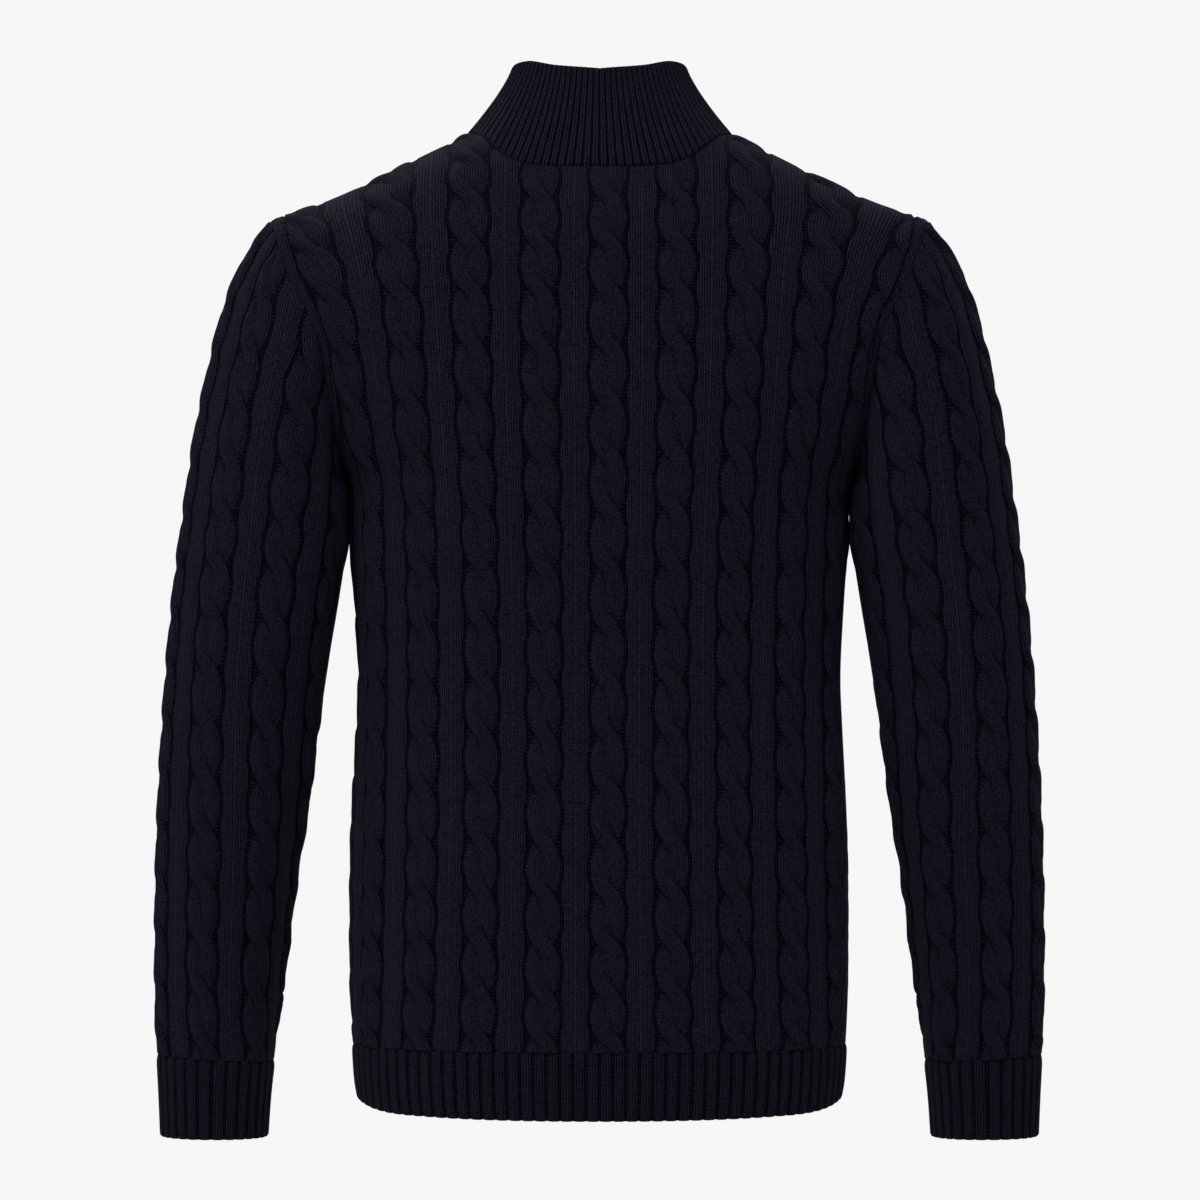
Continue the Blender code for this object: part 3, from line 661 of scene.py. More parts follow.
def rolled_in(relief, distance):
    """The relief, sunk at the seams, where the edge rolls in."""
    fade = soft_step(distance / SEAM_ROLL)
    return relief * fade - SEAM_SINK * (1 - fade)


def make_panel(name, side, materials):
    """The back or the front, knitted from the hem rib up to the neck and shoulders."""
    fraction = np.linspace(-1, 1, PANEL_POINTS)
    lower = np.linspace(RIB_TOP_Z + SEAM, ARMPIT_Z, LOWER_ROWS)
    climb = np.linspace(0, 1, UPPER_ROWS + 1)[1:]
    dense = np.concatenate([lower_rows(fraction, lower, side), upper_rows(fraction, climb, side)])
    normals = grid_normals(dense, np.array([0.0, way_out(side), 0.0]))
    x, z = dense[..., 0], dense[..., 2]
    roll = (dense[..., 1] - RIDGE_Y) / (full_depth(x, z, side) - RIDGE_Y)
    column_width = smooth(STRETCH, 1, z) * (1 + smooth(STRETCH, 2, z) * (x / 150.0) ** 2)
    rows_u = level_arc(x, z, side, roll) / column_width * way_out(side)
    step = np.abs(np.diff(dense, axis=0))
    extra = np.hypot(step[..., 1], step[..., 2]) - step[..., 2]
    v = np.interp(z, CROSSINGS, np.arange(-1.0, len(CROSSINGS) - 1.0))
    v[1:] += np.cumsum(extra * soft_step((z[1:] + 110) / 40.0), axis=0) / REPEAT
    climbed, to_top = climb_along(dense)
    shift = BACK_SHIFT if side == BACK else 0.5
    columns = knit_columns(np.abs(rows_u).max() + 0.01, shift)
    u, low, high, (base, facing, v, climbed, to_top, column_width) = resample(
        rows_u, columns, (dense, normals, v, climbed, to_top, column_width))
    for amount, often, start in UNEVEN:
        v = v + amount * np.sin(often * u + start)
    index = column_index(u, low, high)
    to_edge = np.minimum(high - u, u - low) * column_width
    slit = zip_slit(base, u) if side == FRONT else None
    relief = cable_relief(u - shift, v)
    above = soft_step((base[..., 2] - ARMPIT_Z) / 12.0) > 0.5
    stripe = 0.9 * np.abs(np.sin(to_edge / BORDER * 2 * math.pi)) ** 0.6 + 0.1
    relief = np.where((to_edge < BORDER) & above, stripe, relief)
    relief = np.where((np.abs(to_edge - BORDER) < 1.0) & above, GROUND, relief)
    relief = np.where(above, relief, relief * pressed(to_edge, SIDE_REACH, SIDE_FLAT))
    distance = np.minimum(np.minimum(to_edge, to_top), climbed + RIB_START)
    if slit:
        to_zip = np.maximum(np.abs(base[..., 0]) - ZIP_HALF, 0)
        distance = np.where(base[..., 2] > ZIP_BOTTOM_Z, np.minimum(distance, to_zip), distance)
    relief = relief * pressed(to_top, SHOULDER_REACH) * pressed(climbed, RIB_REACH)
    return cloth(name, base, unit(facing), rolled_in(relief, distance),
                 np.stack([u - shift, v], axis=-1), np.where(above, to_edge, NO_BORDER), index,
                 materials, slit, flip=side == BACK)


def zip_slit(base, u):
    """Lays the two columns beside the zip on its edges; returns the slit's row and columns."""
    row = int(np.argmax(base[:, u.shape[1] // 2, 2] > ZIP_BOTTOM_Z))
    beside = np.where(np.abs(base[row, :, 0]) > ZIP_HALF)[0]
    middle = int(np.argmin(np.abs(base[row, :, 0])))
    near, far = int(beside[beside < middle].max()), int(beside[beside > middle].min())
    for column, outer in ((near, near - 1), (far, far + 1)):
        x, next_x = base[row:, column, 0], base[row:, outer, 0]
        share = (np.sign(x) * ZIP_HALF - x) / (next_x - x)
        for grid in (base, u):
            part = share[:, None] if grid.ndim == 3 else share
            grid[row:, column] += (grid[row:, outer] - grid[row:, column]) * part
    base[row, near:far + 1, 2] = ZIP_BOTTOM_Z
    return row, near, far


def sleeve_uv(points, near):
    """Columns of fabric round a sleeve from its outer line, and repeats up it."""
    x, y, z = points[..., 0], points[..., 1], points[..., 2]
    rings = np.linspace(0, SLEEVE[-1][0], 141)
    out_x, outer_z, in_x, inner_z, mid_y, depth = [smooth(SLEEVE, n, rings) for n in range(1, 7)]
    mid_z = (outer_z + inner_z) / 2
    out_x = np.interp(z, outer_z[::-1], out_x[::-1])
    in_x = np.interp(z, inner_z[::-1], in_x[::-1])
    mid_y = np.interp(z, mid_z[::-1], mid_y[::-1])
    depth = np.interp(z, mid_z[::-1], depth[::-1])
    half = (out_x - in_x) / 2
    angle = np.arctan2((y - mid_y) / depth, (x - (out_x + in_x) / 2) / half)
    angle += 2 * math.pi * np.round((near - angle) / (2 * math.pi))
    mean = np.sqrt((half**2 + depth**2) / 2)
    run = mean * angle + (depth**2 - half**2) / (8 * mean) * np.sin(2 * angle)
    v = (-0.1 * (x - 226.0) + 0.995 * (z + 304.3)) / REPEAT
    v += 0.06 + 0.14 * soft_step((z + 345) / 85)
    return run / smooth(SLEEVE_STRETCH, 1, z), v


def sleeve_rows(count):
    """Ring numbers from the cuff to the armhole, evenly apart along the outer line."""
    ring = np.linspace(SLEEVE[-1][0], 0, 600)
    run = np.cumsum(np.hypot(np.diff(smooth(SLEEVE, 1, ring)), np.diff(smooth(SLEEVE, 2, ring))))
    run = np.concatenate([[0], run])
    return np.interp(np.linspace(0, run[-1], count), run, ring)


def lie_close(sleeve):
    """Brings the sleeve's inner side near the body below the armpit, just clear of it."""
    y, z = sleeve[..., 1], sleeve[..., 2]
    side = np.where(y > SIDE_Y, smooth(TORSO, BACK, z), smooth(TORSO, FRONT, z)) - SIDE_Y
    across = np.minimum((y - SIDE_Y) / side, 1.0) ** SECTION_POWER
    gap = sleeve[..., 0] - smooth(TORSO, 1, z) * (1 - across) ** (1 / SECTION_POWER)
    near = soft_step((z - TOUCH_Z) / 26) * soft_step((ARMPIT_Z - z) / 6)
    sleeve[..., 0] -= near * np.maximum(gap - TOUCH_GAP, 0) * soft_step((16 - gap) / 12)


def make_sleeve(name, sign, materials):
    """One sleeve, knitted from the cuff up and cut off by the armhole."""
    ring = sleeve_rows(SLEEVE_ROWS)
    angle = np.linspace(-math.pi, math.pi, SLEEVE_POINTS)
    dense = ring_points(SLEEVE, ring, angle)
    bend = armhole_curve(angle) - ring_points(SLEEVE, np.array([0.0]), angle)[0]
    dense += bend[None] * (np.maximum(1 - ring / CAP_FADE, 0) ** 2)[:, None, None]
    dense[-1, :, 0] -= SLEEVE_TUCK
    lie_close(dense)
    rows_u, v = sleeve_uv(dense, angle)
    rows_u[:, 0], rows_u[:, -1] = -np.abs(rows_u[:, 1]) - 0.01, np.abs(rows_u[:, -2]) + 0.01
    rows_u = np.maximum.accumulate(rows_u, axis=1) + np.linspace(0, 1e-4, len(angle))
    columns = knit_columns(np.abs(rows_u).max() + 0.01, 0.5)
    u, low, high, (base, facing, v, climbed, to_top) = resample(
        rows_u, columns, (dense, tube_normals(dense), v, *climb_along(dense)))
    to_edge = np.minimum(high - u, u - low) * COLUMN
    turned = -sign * u - 0.5
    close = (1 - soft_step((to_edge - 12) / 30.0)) * soft_step((base[..., 2] - UNDERARM_Z) / 40.0)
    relief = cable_relief(turned, v) * (1 - UNDERARM_FLAT * close) * pressed(climbed, RIB_REACH)
    distance = np.minimum(np.minimum(to_edge, to_top), climbed + RIB_START)
    mirror = np.array([sign, 1.0, 1.0])
    return cloth(name, base * mirror, unit(facing) * mirror, rolled_in(relief, distance),
                 np.stack([turned, v], axis=-1), np.full(u.shape, NO_BORDER),
                 column_index(u, low, high), materials, flip=sign < 0)


# ---------------------------------------------------------------- ribs
def rib_height(place, high):
    """Height of a rib: a rounded ridge of knit stitches between narrow purl valleys."""
    off = np.abs((place + 0.5) % 1.0 - 0.5) / 0.45
    return high * (np.sqrt(1 - np.minimum(off, 1.0) ** CUP) - 0.5)


def hem_dip(x):
    """How far the hem's edge lies from its level: lower at the middle, rounded up at the sides."""
    return 9.0 * np.minimum(np.abs(x) / 175.0, 1.0) ** 14 - 1.5 * np.maximum(1 - (x / 125.0) ** 2, 0)


def ribbed(name, base, normals, high, lift, ends, along, materials, flip, wall=WALL, inside=0.3):
    """A ribbed wall; ends says how far its first and last rows turn in, by row number."""
    place = np.arange(base.shape[1]) / PER_RIB - 0.5
    leaving = np.interp(np.arange(len(base)), (0, 2), (0.35, 1.0))[:, None]
    relief = rib_height(place, high) * leaving
    turn = np.zeros((len(base), 1))
    for row, amount in ends.items():
        turn[row] = amount
    knit = np.stack(np.broadcast_arrays(place[None, :], along[:, None]), axis=-1)
    return wall_grid(name, base + normals * (relief + lift - turn)[..., None],
                     base - normals * (wall - inside * relief - turn)[..., None],
                     knit, materials, flip)


def make_hem(name, side, ribs, materials):
    """The hem rib of the back or the front."""
    fraction = np.linspace(-1, 1, ribs * PER_RIB + 1)
    z = np.concatenate([np.linspace(RIB_TOP_Z - SEAM, HEM_Z + 1.5, 16), [HEM_Z + 0.6, HEM_Z]])
    base = lower_rows(fraction, z, side)
    low = (RIB_TOP_Z - base[..., 2]) / (RIB_TOP_Z - HEM_Z)
    base[..., 2] += hem_dip(base[..., 0]) * low
    normals = grid_normals(base, np.array([0.0, way_out(side), 0.0]))
    base[0] += unit(base[0] - base[1])
    return ribbed(name, base, normals, HEM_HIGH, 0.3, {0: 1.0, -2: 0.42, -1: 1.2}, -z / RIB_COURSE,
                  materials, side == FRONT)


def make_cuff(name, sign, ribs, materials):
    """One ribbed cuff."""
    angle = np.linspace(-math.pi, math.pi, ribs * PER_RIB + 1)
    base = ring_points(CUFF, np.concatenate([np.linspace(0, 1.94, 16), [1.975, 2.0]]), angle)
    normals = tube_normals(base)
    base[0] += unit(base[0] - base[1])
    mirror = np.array([sign, 1.0, 1.0])
    return ribbed(name, base * mirror, normals * mirror, CUFF_HIGH, 0.2,
                  {0: 1.0, -2: 0.385, -1: 1.1}, -base[:, 0, 2] / RIB_COURSE, materials, sign > 0)


def make_collar(name, ribs, materials):
    """The doubled ribbed stand collar, folded over at its rim."""
    angle = np.linspace(-ZIP_ANGLE, ZIP_ANGLE, ribs * PER_RIB + 1)
    rise = np.concatenate([np.linspace(0, 0.955, 20), [0.98, 0.993, 1.0]])
    base = collar_points(angle, rise)
    base[0, :, 2] += SEAM
    return ribbed(name, base, tube_normals(base), COLLAR_HIGH, 0.2, {-3: 0.35, -2: 1.1, -1: 2.2},
                  rise * 26.0, materials, True, COLLAR_WALL - 0.4, 1.0)


# ---------------------------------------------------------------- materials
class Nodes:
    """Short ways to add nodes to a shader tree."""

    def __init__(self, tree):
        self.tree = tree

    def fill(self, node, values):
        """Links or sets a node's inputs, given by name or number."""
        for socket, value in values.items():
            if isinstance(value, bpy.types.NodeSocket):
                self.tree.links.new(value, node.inputs[socket])
            else:
                node.inputs[socket].default_value = value

    def add(self, kind, values):
        node = self.tree.nodes.new("ShaderNode" + kind)
        self.fill(node, values)
        return node

    def use(self, group, *values):
        """The outputs of a node group."""
        node = self.tree.nodes.new("ShaderNodeGroup")
        node.node_tree = group
        self.fill(node, dict(enumerate(values)))
        return list(node.outputs)

    def math(self, operation, *values):
        node = self.add("Math", dict(enumerate(values)))
        node.operation = operation
        return node.outputs[0]

    def times(self, *values):
        return self.math("MULTIPLY", *values)

    def plus(self, *values):
        return self.math("ADD", *values)

    def minus(self, *values):
        return self.math("SUBTRACT", *values)

    def times_plus(self, *values):
        return self.math("MULTIPLY_ADD", *values)

    def power(self, *values):
        return self.math("POWER", *values)

    def larger(self, *values):
        return self.math("MAXIMUM", *values)

    def past(self, *values):
        """1 where the first value is above the second."""
        return self.math("GREATER_THAN", *values)

    def size(self, value):
        return self.math("ABSOLUTE", value)

    def sine(self, value):
        return self.math("SINE", value)

    def from_middle(self, value):
        """How far a value is past the middle of its whole step."""
        return self.minus(self.math("FRACT", value), 0.5)

    def blend(self, factor, low, high):
        return self.add("Mix", {0: factor, 2: low, 3: high}).outputs[0]

    def split(self, vector):
        return list(self.add("SeparateXYZ", {0: vector}).outputs)[:2]

    def knit_map(self):
        """The UV map that counts columns and repeats, or ribs and courses."""
        node = self.add("UVMap", {})
        node.uv_map = "knit"
        return node.outputs[0]

    def object_place(self):
        return self.add("TexCoord", {}).outputs["Object"]


def shader_tree(name):
    """A material, its nodes and its Principled shader."""
    made = bpy.data.materials.new(name)
    made.use_nodes = True
    return made, Nodes(made.node_tree), made.node_tree.nodes["Principled BSDF"]


def new_group(name, inputs, outputs):
    """A shader node group: its nodes, its values that come in, and the node for what goes out."""
    group = bpy.data.node_groups.new(name, "ShaderNodeTree")
    for sockets, way in ((inputs, "INPUT"), (outputs, "OUTPUT")):
        for title, kind in sockets.items():
            group.interface.new_socket(title, in_out=way, socket_type="NodeSocket" + kind)
    values = list(group.nodes.new("NodeGroupInput").outputs)[:len(inputs)]
    return Nodes(group), values, group.nodes.new("NodeGroupOutput")


def stitch_group():
    """Knit stitches: V shapes in upright wales, from a wale and a course number."""
    m, (wale, course), outlet = new_group(
        "stitches", {"Wale": "Float", "Course": "Float"}, {"Height": "Float"})
    across = m.size(m.from_middle(wale))
    leg = m.math("FRACT", m.plus(course, m.times(across, 1.5)))
    arch = m.power(m.sine(m.times(leg, math.pi)), 0.6)
    crest = m.power(m.larger(m.sine(m.times(across, 2 * math.pi)), 0.0), 0.8)
    m.fill(outlet, {0: m.times(m.plus(m.times(arch, 0.45), 0.55), crest)})
    return m.tree


def cable_group(stitches):
    """Stitches of the cable fabric, which follow the strands, and the painted shade of each place, less
    a painted highlight on the front strand.
    """
    m, (knit, border), outlet = new_group(
        "cable_fabric", {"Knit": "Vector", "Border": "Float"}, {"Height": "Float", "Depth": "Float"})
    u, v = m.split(knit)
    t = m.times(m.from_middle(m.plus(u, 0.5)), COLUMN)
    turn = m.times(v, math.pi)
    cosine = m.math("COSINE", turn)
    bend = m.math("TANH", m.times(m.sine(turn), CROSS_SHARP))
    scale = STRAND_SWING / math.tanh(CROSS_SHARP)
    lean = m.times(cosine, m.minus(1.0, m.times(bend, bend)))
    slope = m.times(lean, scale * CROSS_SHARP * math.pi / REPEAT)
    cross = m.times(cosine, cosine)
    half = m.times_plus(cross, STRAND_NARROW - STRAND_WIDE, STRAND_WIDE)
    wide = m.times(m.math("SQRT", m.times_plus(slope, slope, 1.0)), half)
    places, heights, edges = [], [], []
    for side in (1.0, -1.0):
        place = m.math("DIVIDE", m.minus(t, m.times(bend, side * scale)), wide)
        d = m.math("MINIMUM", m.size(place), 1.0)
        dome = m.math("SQRT", m.minus(1.0, m.power(d, CUP)))
        above = m.past(m.times(cosine, side), 0.0)
        lift = m.times(cross, m.blend(above, -CROSS_UNDER, CROSS_OVER))
        places.append(place)
        edges.append(m.power(d, 6.0))
        heights.append(m.times(m.plus(lift, STRAND_HIGH - GROUND), dome))
    first = m.past(*heights)
    on_cable = m.past(m.larger(*heights), 0.7)
    past = m.minus(m.size(t), m.times_plus(cross, -PINCH, PANEL_EDGE))
    on_plain = m.past(past, 0.7)
    at_edge = m.math("LESS_THAN", border, BORDER)
    strand_wale = m.times(m.blend(first, places[1], places[0]), 2.0)
    plain_wale = m.math("DIVIDE", m.plus(t, COLUMN), WALE)
    wale = m.blend(on_cable, plain_wale, strand_wale)
    wale = m.blend(at_edge, wale, m.math("DIVIDE", border, BORDER / 2))
    course = m.times(v, float(COURSES))
    knitted = m.use(stitches, wale, course)[0]
    bars = m.times(m.sine(m.times(course, 2 * math.pi)), 0.28)
    no_purl = m.plus(m.plus(on_cable, on_plain), at_edge)
    purl = m.minus(1.0, m.math("MINIMUM", no_purl, 1.0))
    # Painted shade over the purl gutters beside each cable, darkest where they meet the plain panel.
    gutter_shade = m.times(purl, m.larger(m.minus(1.0, m.times(m.size(past), 0.7)), 0.35))
    # Painted shade in the crease along the edge of the strand on top, stronger where the strands cross.
    crease_shade = m.times(m.blend(first, edges[1], edges[0]), on_cable)
    crease_shade = m.times(crease_shade, m.times_plus(cross, 0.85, 0.25))
    # Painted shadow on the back strand just beside the front strand's edge, where it tucks under.
    forward = m.past(cosine, 0.0)
    reach = m.size(m.blend(forward, places[1], places[0]))
    beyond = m.past(reach, 0.97)
    tuck_shadow = m.larger(m.math("DIVIDE", m.minus(1.5, reach), 0.5), 0.0)
    tuck_shadow = m.times(m.times(tuck_shadow, beyond), m.power(cross, 0.7))
    # Painted highlight along the middle of the front strand where the strands cross; it is taken off
    # the painted shade.
    ridge = m.times(m.minus(1.0, beyond), m.power(cross, 2.0))
    ridge = m.times(ridge, m.minus(1.0, m.power(reach, 3.0)))
    shade = m.larger(m.larger(gutter_shade, crease_shade), m.times(tuck_shadow, 1.1))
    shade = m.minus(shade, m.times(ridge, 0.35))
    # Painted shade along the groove of the armhole's border stripe.
    groove_shade = m.math("LESS_THAN", m.size(m.minus(border, BORDER)), 0.9)
    # The second output is the painted shade: gutters, creases, the tuck shadow and the border groove,
    # less the front strand's painted highlight.
    m.fill(outlet, {0: m.blend(purl, knitted, m.plus(bars, 0.3)), 1: m.larger(shade, groove_shade)})
    return m.tree


def yarn_group():
    """Fibres of the yarn: a fine height, and a tint that wanders over the cloth."""
    m, (place,), outlet = new_group("yarn", {"Place": "Vector"}, {"Fuzz": "Float", "Tint": "Float"})
    fine = m.add("TexNoise", {"Vector": place, "Scale": 760.0, "Detail": 3.0}).outputs[0]
    wide = m.add("TexNoise", {"Vector": place, "Scale": 420.0, "Detail": 2.0}).outputs[0]
    m.fill(outlet, {0: fine, 1: m.blend(0.45, wide, fine)})
    return m.tree


def knit_material(name, yarn, colours, detail, speckle):
    """Matt yarn: detail gives the stitch height and a painted shade; colours are the yarn in painted
    shade and in open light.
    """
    made, m, shader = shader_tree(name)
    height, deep = detail(m)
    fuzz, tint = m.use(yarn, m.object_place())
    # The colour mixes the fibres' own tint with painted shade: raised stitches lighter, low ones
    # darker, and darker still by the detail's painted shade, deep.
    mixed = m.plus(m.times_plus(m.minus(tint, 0.5), speckle, -0.42), m.times(height, 1.65))
    ramp = m.add("ValToRGB", {0: m.minus(mixed, m.times(deep, 0.6))})
    for element, colour in zip(ramp.color_ramp.elements, colours):
        element.color = (*colour, 1.0)
    bump = m.add("Bump", {"Strength": 1.0, "Distance": 0.0013,
                          "Height": m.times_plus(fuzz, 0.9, height)})
    m.fill(shader, {
        "Base Color": ramp.outputs[0], "Normal": bump.outputs[0], "Roughness": 0.95,
        "Specular IOR Level": 0.025, "Sheen Weight": 0.012, "Sheen Roughness": 0.45,
        "Sheen Tint": (0.62, 0.66, 0.85, 1.0)})
    return made


def cable_detail(cables):
    """Stitch height and painted shade of the cable fabric's right side."""
    def build(m):
        border = m.add("Attribute", {})
        border.attribute_name = "border"
        return m.use(cables, m.knit_map(), border.outputs["Fac"])
    return build


def wrong_side_detail(m):
    """Stitch height of the cable fabric's wrong side: rows of purl bumps."""
    u, v = m.split(m.knit_map())
    rows = m.sine(m.times(v, 2 * math.pi * COURSES))
    wales = m.sine(m.times(u, 2 * math.pi * COLUMN / WALE))
    return m.times_plus(m.times(rows, wales), 0.35, 0.5), m.times(u, 0.0)


def rib_detail(stitches, wales, shaded):
    """Stitch height of a rib: a number of wales of V stitches on each ridge, and painted shade in the
    valleys between the ribs.
    """
    def build(m):
        place, course = m.split(m.knit_map())
        near = m.from_middle(m.plus(place, 0.5))
        height = m.use(stitches, m.times_plus(near, wales / 0.76, wales / 2), course)[0]
        # Painted shade in the purl valleys between the ribs.
        valley_shade = m.times_plus(m.math("COSINE", m.times(place, 2 * math.pi)), -0.5, 0.5)
        return height, m.times(m.power(valley_shade, 3.0), shaded)
    return build


def tape_material():
    """Woven polyester tape, with a herringbone of fine ribs."""
    made, m, shader = shader_tree("zip_tape_weave")
    across, along = m.split(m.knit_map())
    fold = m.size(m.from_middle(m.math("DIVIDE", across, 2.4)))
    twill = m.sine(m.times(m.plus(m.times(fold, 3.0), along), 2 * math.pi / 0.9))
    bump = m.add("Bump", {"Strength": 0.7, "Distance": 0.0002, "Height": twill})
    m.fill(shader, {"Base Color": (0.0055, 0.0060, 0.0115, 1.0), "Normal": bump.outputs[0],
                    "Roughness": 0.8, "Specular IOR Level": 0.2})
    return made


def metal_material():
    """Dark satin metal, with faint wear in its roughness."""
    made, m, shader = shader_tree("dark_satin_metal")
    wear = m.add("TexNoise", {"Vector": m.object_place(), "Scale": 900.0}).outputs[0]
    m.fill(shader, {"Base Color": (0.11, 0.11, 0.125, 1.0), "Metallic": 1.0,
                    "Roughness": m.times_plus(wear, 0.16, 0.24)})
    return made


# ---------------------------------------------------------------- zip
def down_from(out):
    """The way down along the zip, from the way out from the chest."""
    return np.array([0.0, -out[2], out[1]])


def zip_line(collar_steps=24, chest_steps=60):
    """Points down the middle of the zip, from the collar's rim to its bottom end."""
    angle = np.array([ZIP_ANGLE])
    collar = collar_points(angle, np.linspace(1, 0, collar_steps + 1)[:-1])[:, 0]
    half = np.array([ZIP_HALF])
    start = below_ridge(half, neck_loop(angle)[:, 2], FRONT)[0]
    end = below_ridge(half, np.array([ZIP_BOTTOM_Z]), FRONT)[0]
    below = np.linspace(start, end, chest_steps + 1)
    line = np.concatenate([collar, torso_points(np.full_like(below, ZIP_HALF), below, FRONT)])
    line[:, 0] = 0.0
    return line


def line_frame(line):
    """Tangent down a line in the YZ plane and the direction out from the chest."""
    tangent = unit(np.gradient(line, axis=0))
    return tangent, np.stack([np.zeros(len(line)), tangent[:, 2], -tangent[:, 1]], axis=1)


def spaced(line, pitch, start, end):
    """Points at an even pitch along a line, between distances from its two ends."""
    run = np.concatenate([[0], np.cumsum(np.linalg.norm(np.diff(line, axis=0), axis=1))])
    at = np.arange(start, run[-1] - end, pitch)
    return np.stack([np.interp(at, run, line[:, k]) for k in range(3)], axis=1)


def make_tape(name, sign, materials):
    """One woven zip tape, with a raised cord along its middle edge."""
    pitch = 2.0
    line = spaced(zip_line(), pitch, 1.2, 0.8)
    _, out = line_frame(line)
    across = np.array([0.4, 0.9, 1.6, 2.2, 3.0, 5.0, 6.6, 7.6])
    rise = np.array([0.3, 0.55, 0.5, 0.1, 0.0, 0.0, 0.0, 0.0])
    outer = (line - out * 1.0)[:, None] + out[:, None] * rise[:, None]
    inner = (line - out * 2.2)[:, None] + np.zeros((len(across), 1))
    outer[..., 0] = inner[..., 0] = sign * across
    along = np.arange(len(line)) * pitch
    knit = np.stack(np.broadcast_arrays(across[None, :], along[:, None]), axis=-1)
    return wall_grid(name, outer, inner, knit, materials, flip=sign > 0)


def block(name, size, bevel, made, place, out, segments=2):
    """A bevelled block, in millimetres, set on the zip with its front out from the chest."""
    turn = (math.atan2(-out[2], -out[1]), 0.0, 0.0)
    bpy.ops.mesh.primitive_cube_add(size=1.0, location=place * MM, rotation=turn)
    thing = bpy.context.object
    thing.name = name
    thing.scale = [s * MM for s in size]
    bpy.ops.object.transform_apply(location=False, rotation=False, scale=True)
    cut = thing.modifiers.new("edges", "BEVEL")
    cut.width = bevel * MM
    cut.segments = segments
    cut.limit_method = "ANGLE"
    bpy.ops.object.modifier_apply(modifier="edges")
    thing.data.materials.append(made)
    return thing


def combine(thing, other, operation):
    """Applies one solid to another."""
    bpy.context.view_layer.objects.active = thing
    mix = thing.modifiers.new("mix", "BOOLEAN")
    mix.operation = operation
    mix.object = other
    bpy.ops.object.modifier_apply(modifier="mix")
    bpy.data.objects.remove(other)


def finish_hard(thing):
    """Puts a hard part's place into its mesh and shades its broad faces flat."""
    bpy.ops.object.select_all(action="DESELECT")
    thing.select_set(True)
    bpy.context.view_layer.objects.active = thing
    bpy.ops.object.transform_apply(location=True, rotation=True, scale=True)
    bpy.ops.object.shade_smooth_by_angle(angle=math.radians(32))
    bpy.ops.object.select_all(action="DESELECT")
    return thing


def make_teeth(name, sign, made):
    """One side's row of moulded teeth, which mesh with the other side's."""
    pitch = 3.0
    line = spaced(zip_line(), pitch, 5.6 if sign > 0 else 5.6 + pitch / 2, 4.6)
    _, out = line_frame(line)
    tooth = block("tooth", (3.3, 1.7, 1.25), 0.32, made, np.zeros(3), np.array([0.0, -1.0, 0.0]))
    shape = np.array([v.co for v in tooth.data.vertices]) / MM
    shape[:, 0] += 1.05 * sign
    corners = [list(f.vertices) for f in tooth.data.polygons]
    bpy.data.objects.remove(tooth)
    points, faces = [], []
    for place, front in zip(line, out):
        centre = place - front * 0.35
        base = len(points) * len(shape)
        faces += [[n + base for n in f] for f in corners]
        points.append(centre + shape[:, :1] * [1, 0, 0] - shape[:, 1:2] * front
                      - shape[:, 2:] * down_from(front))
    mesh = bpy.data.meshes.new(name)
    mesh.from_pydata(np.concatenate(points) * MM, [], faces)
    mesh.materials.append(made)
    row = bpy.data.objects.new(name, mesh)
    bpy.context.scene.collection.objects.link(row)
    return finish_hard(row)


def make_slider(made):
    """The slider's body: two plates, side walls and the bridge that holds the pull tab."""
    pivot, out = np.array(PULL_HINGE), np.array(PULL_OUT)
    down = down_from(out)
    centre = pivot - out * 3.6 + down
    front = block("slider", (8.4, 1.5, 12.0), 0.45, made, centre + out * 1.5, out)
    notch = block("notch", (3.0, 4.0, 3.0), 0.6, made, centre + out * 1.5 - down * 6.6, out)
    combine(front, notch, "DIFFERENCE")
    for sign in (-1.0, 1.0):
        side = np.array([sign * 3.7, 0.0, 0.0])
        wall = block("wall", (1.0, 3.4, 9.0), 0.3, made, centre + side, out)
        combine(front, wall, "UNION")
    back = block("plate", (8.4, 1.2, 11.0), 0.4, made, centre - out * 1.6, out)
    combine(front, back, "UNION")
    bpy.ops.mesh.primitive_torus_add(major_radius=2.1 * MM, minor_radius=0.55 * MM, major_segments=28,
                                     minor_segments=10, location=pivot * MM,
                                     rotation=(0.0, math.pi / 2, 0.0))
    bridge = bpy.context.object
    bridge.scale = (1.0, 1.0, 2.0)
    combine(front, bridge, "UNION")
    return finish_hard(front)


def make_pull(made):
    """The pull tab: a flat bar with an eye at its hinge end and a sunk panel on each side."""
    pivot, out = np.array(PULL_HINGE), np.array(PULL_OUT)
    length, width, bar = 30.0, 5.4, 0.8
    down = down_from(out)
    tab = block("pull_tab_bar", (width, 1.5, length), 0.4, made,
                pivot + down * (length / 2 - bar), out, 3)
    eye = block("eye", (3.2, 4.0, 3.0), 0.5, made, pivot + down * (bar + 1.5), out)
    combine(tab, eye, "DIFFERENCE")
    for face in (1.0, -1.0):
        panel = block("panel", (3.2, 0.6, 18.0), 0.25, made,
                      pivot + down * 16.5 + out * face * 0.85, out)
        combine(tab, panel, "DIFFERENCE")
    return finish_hard(tab)


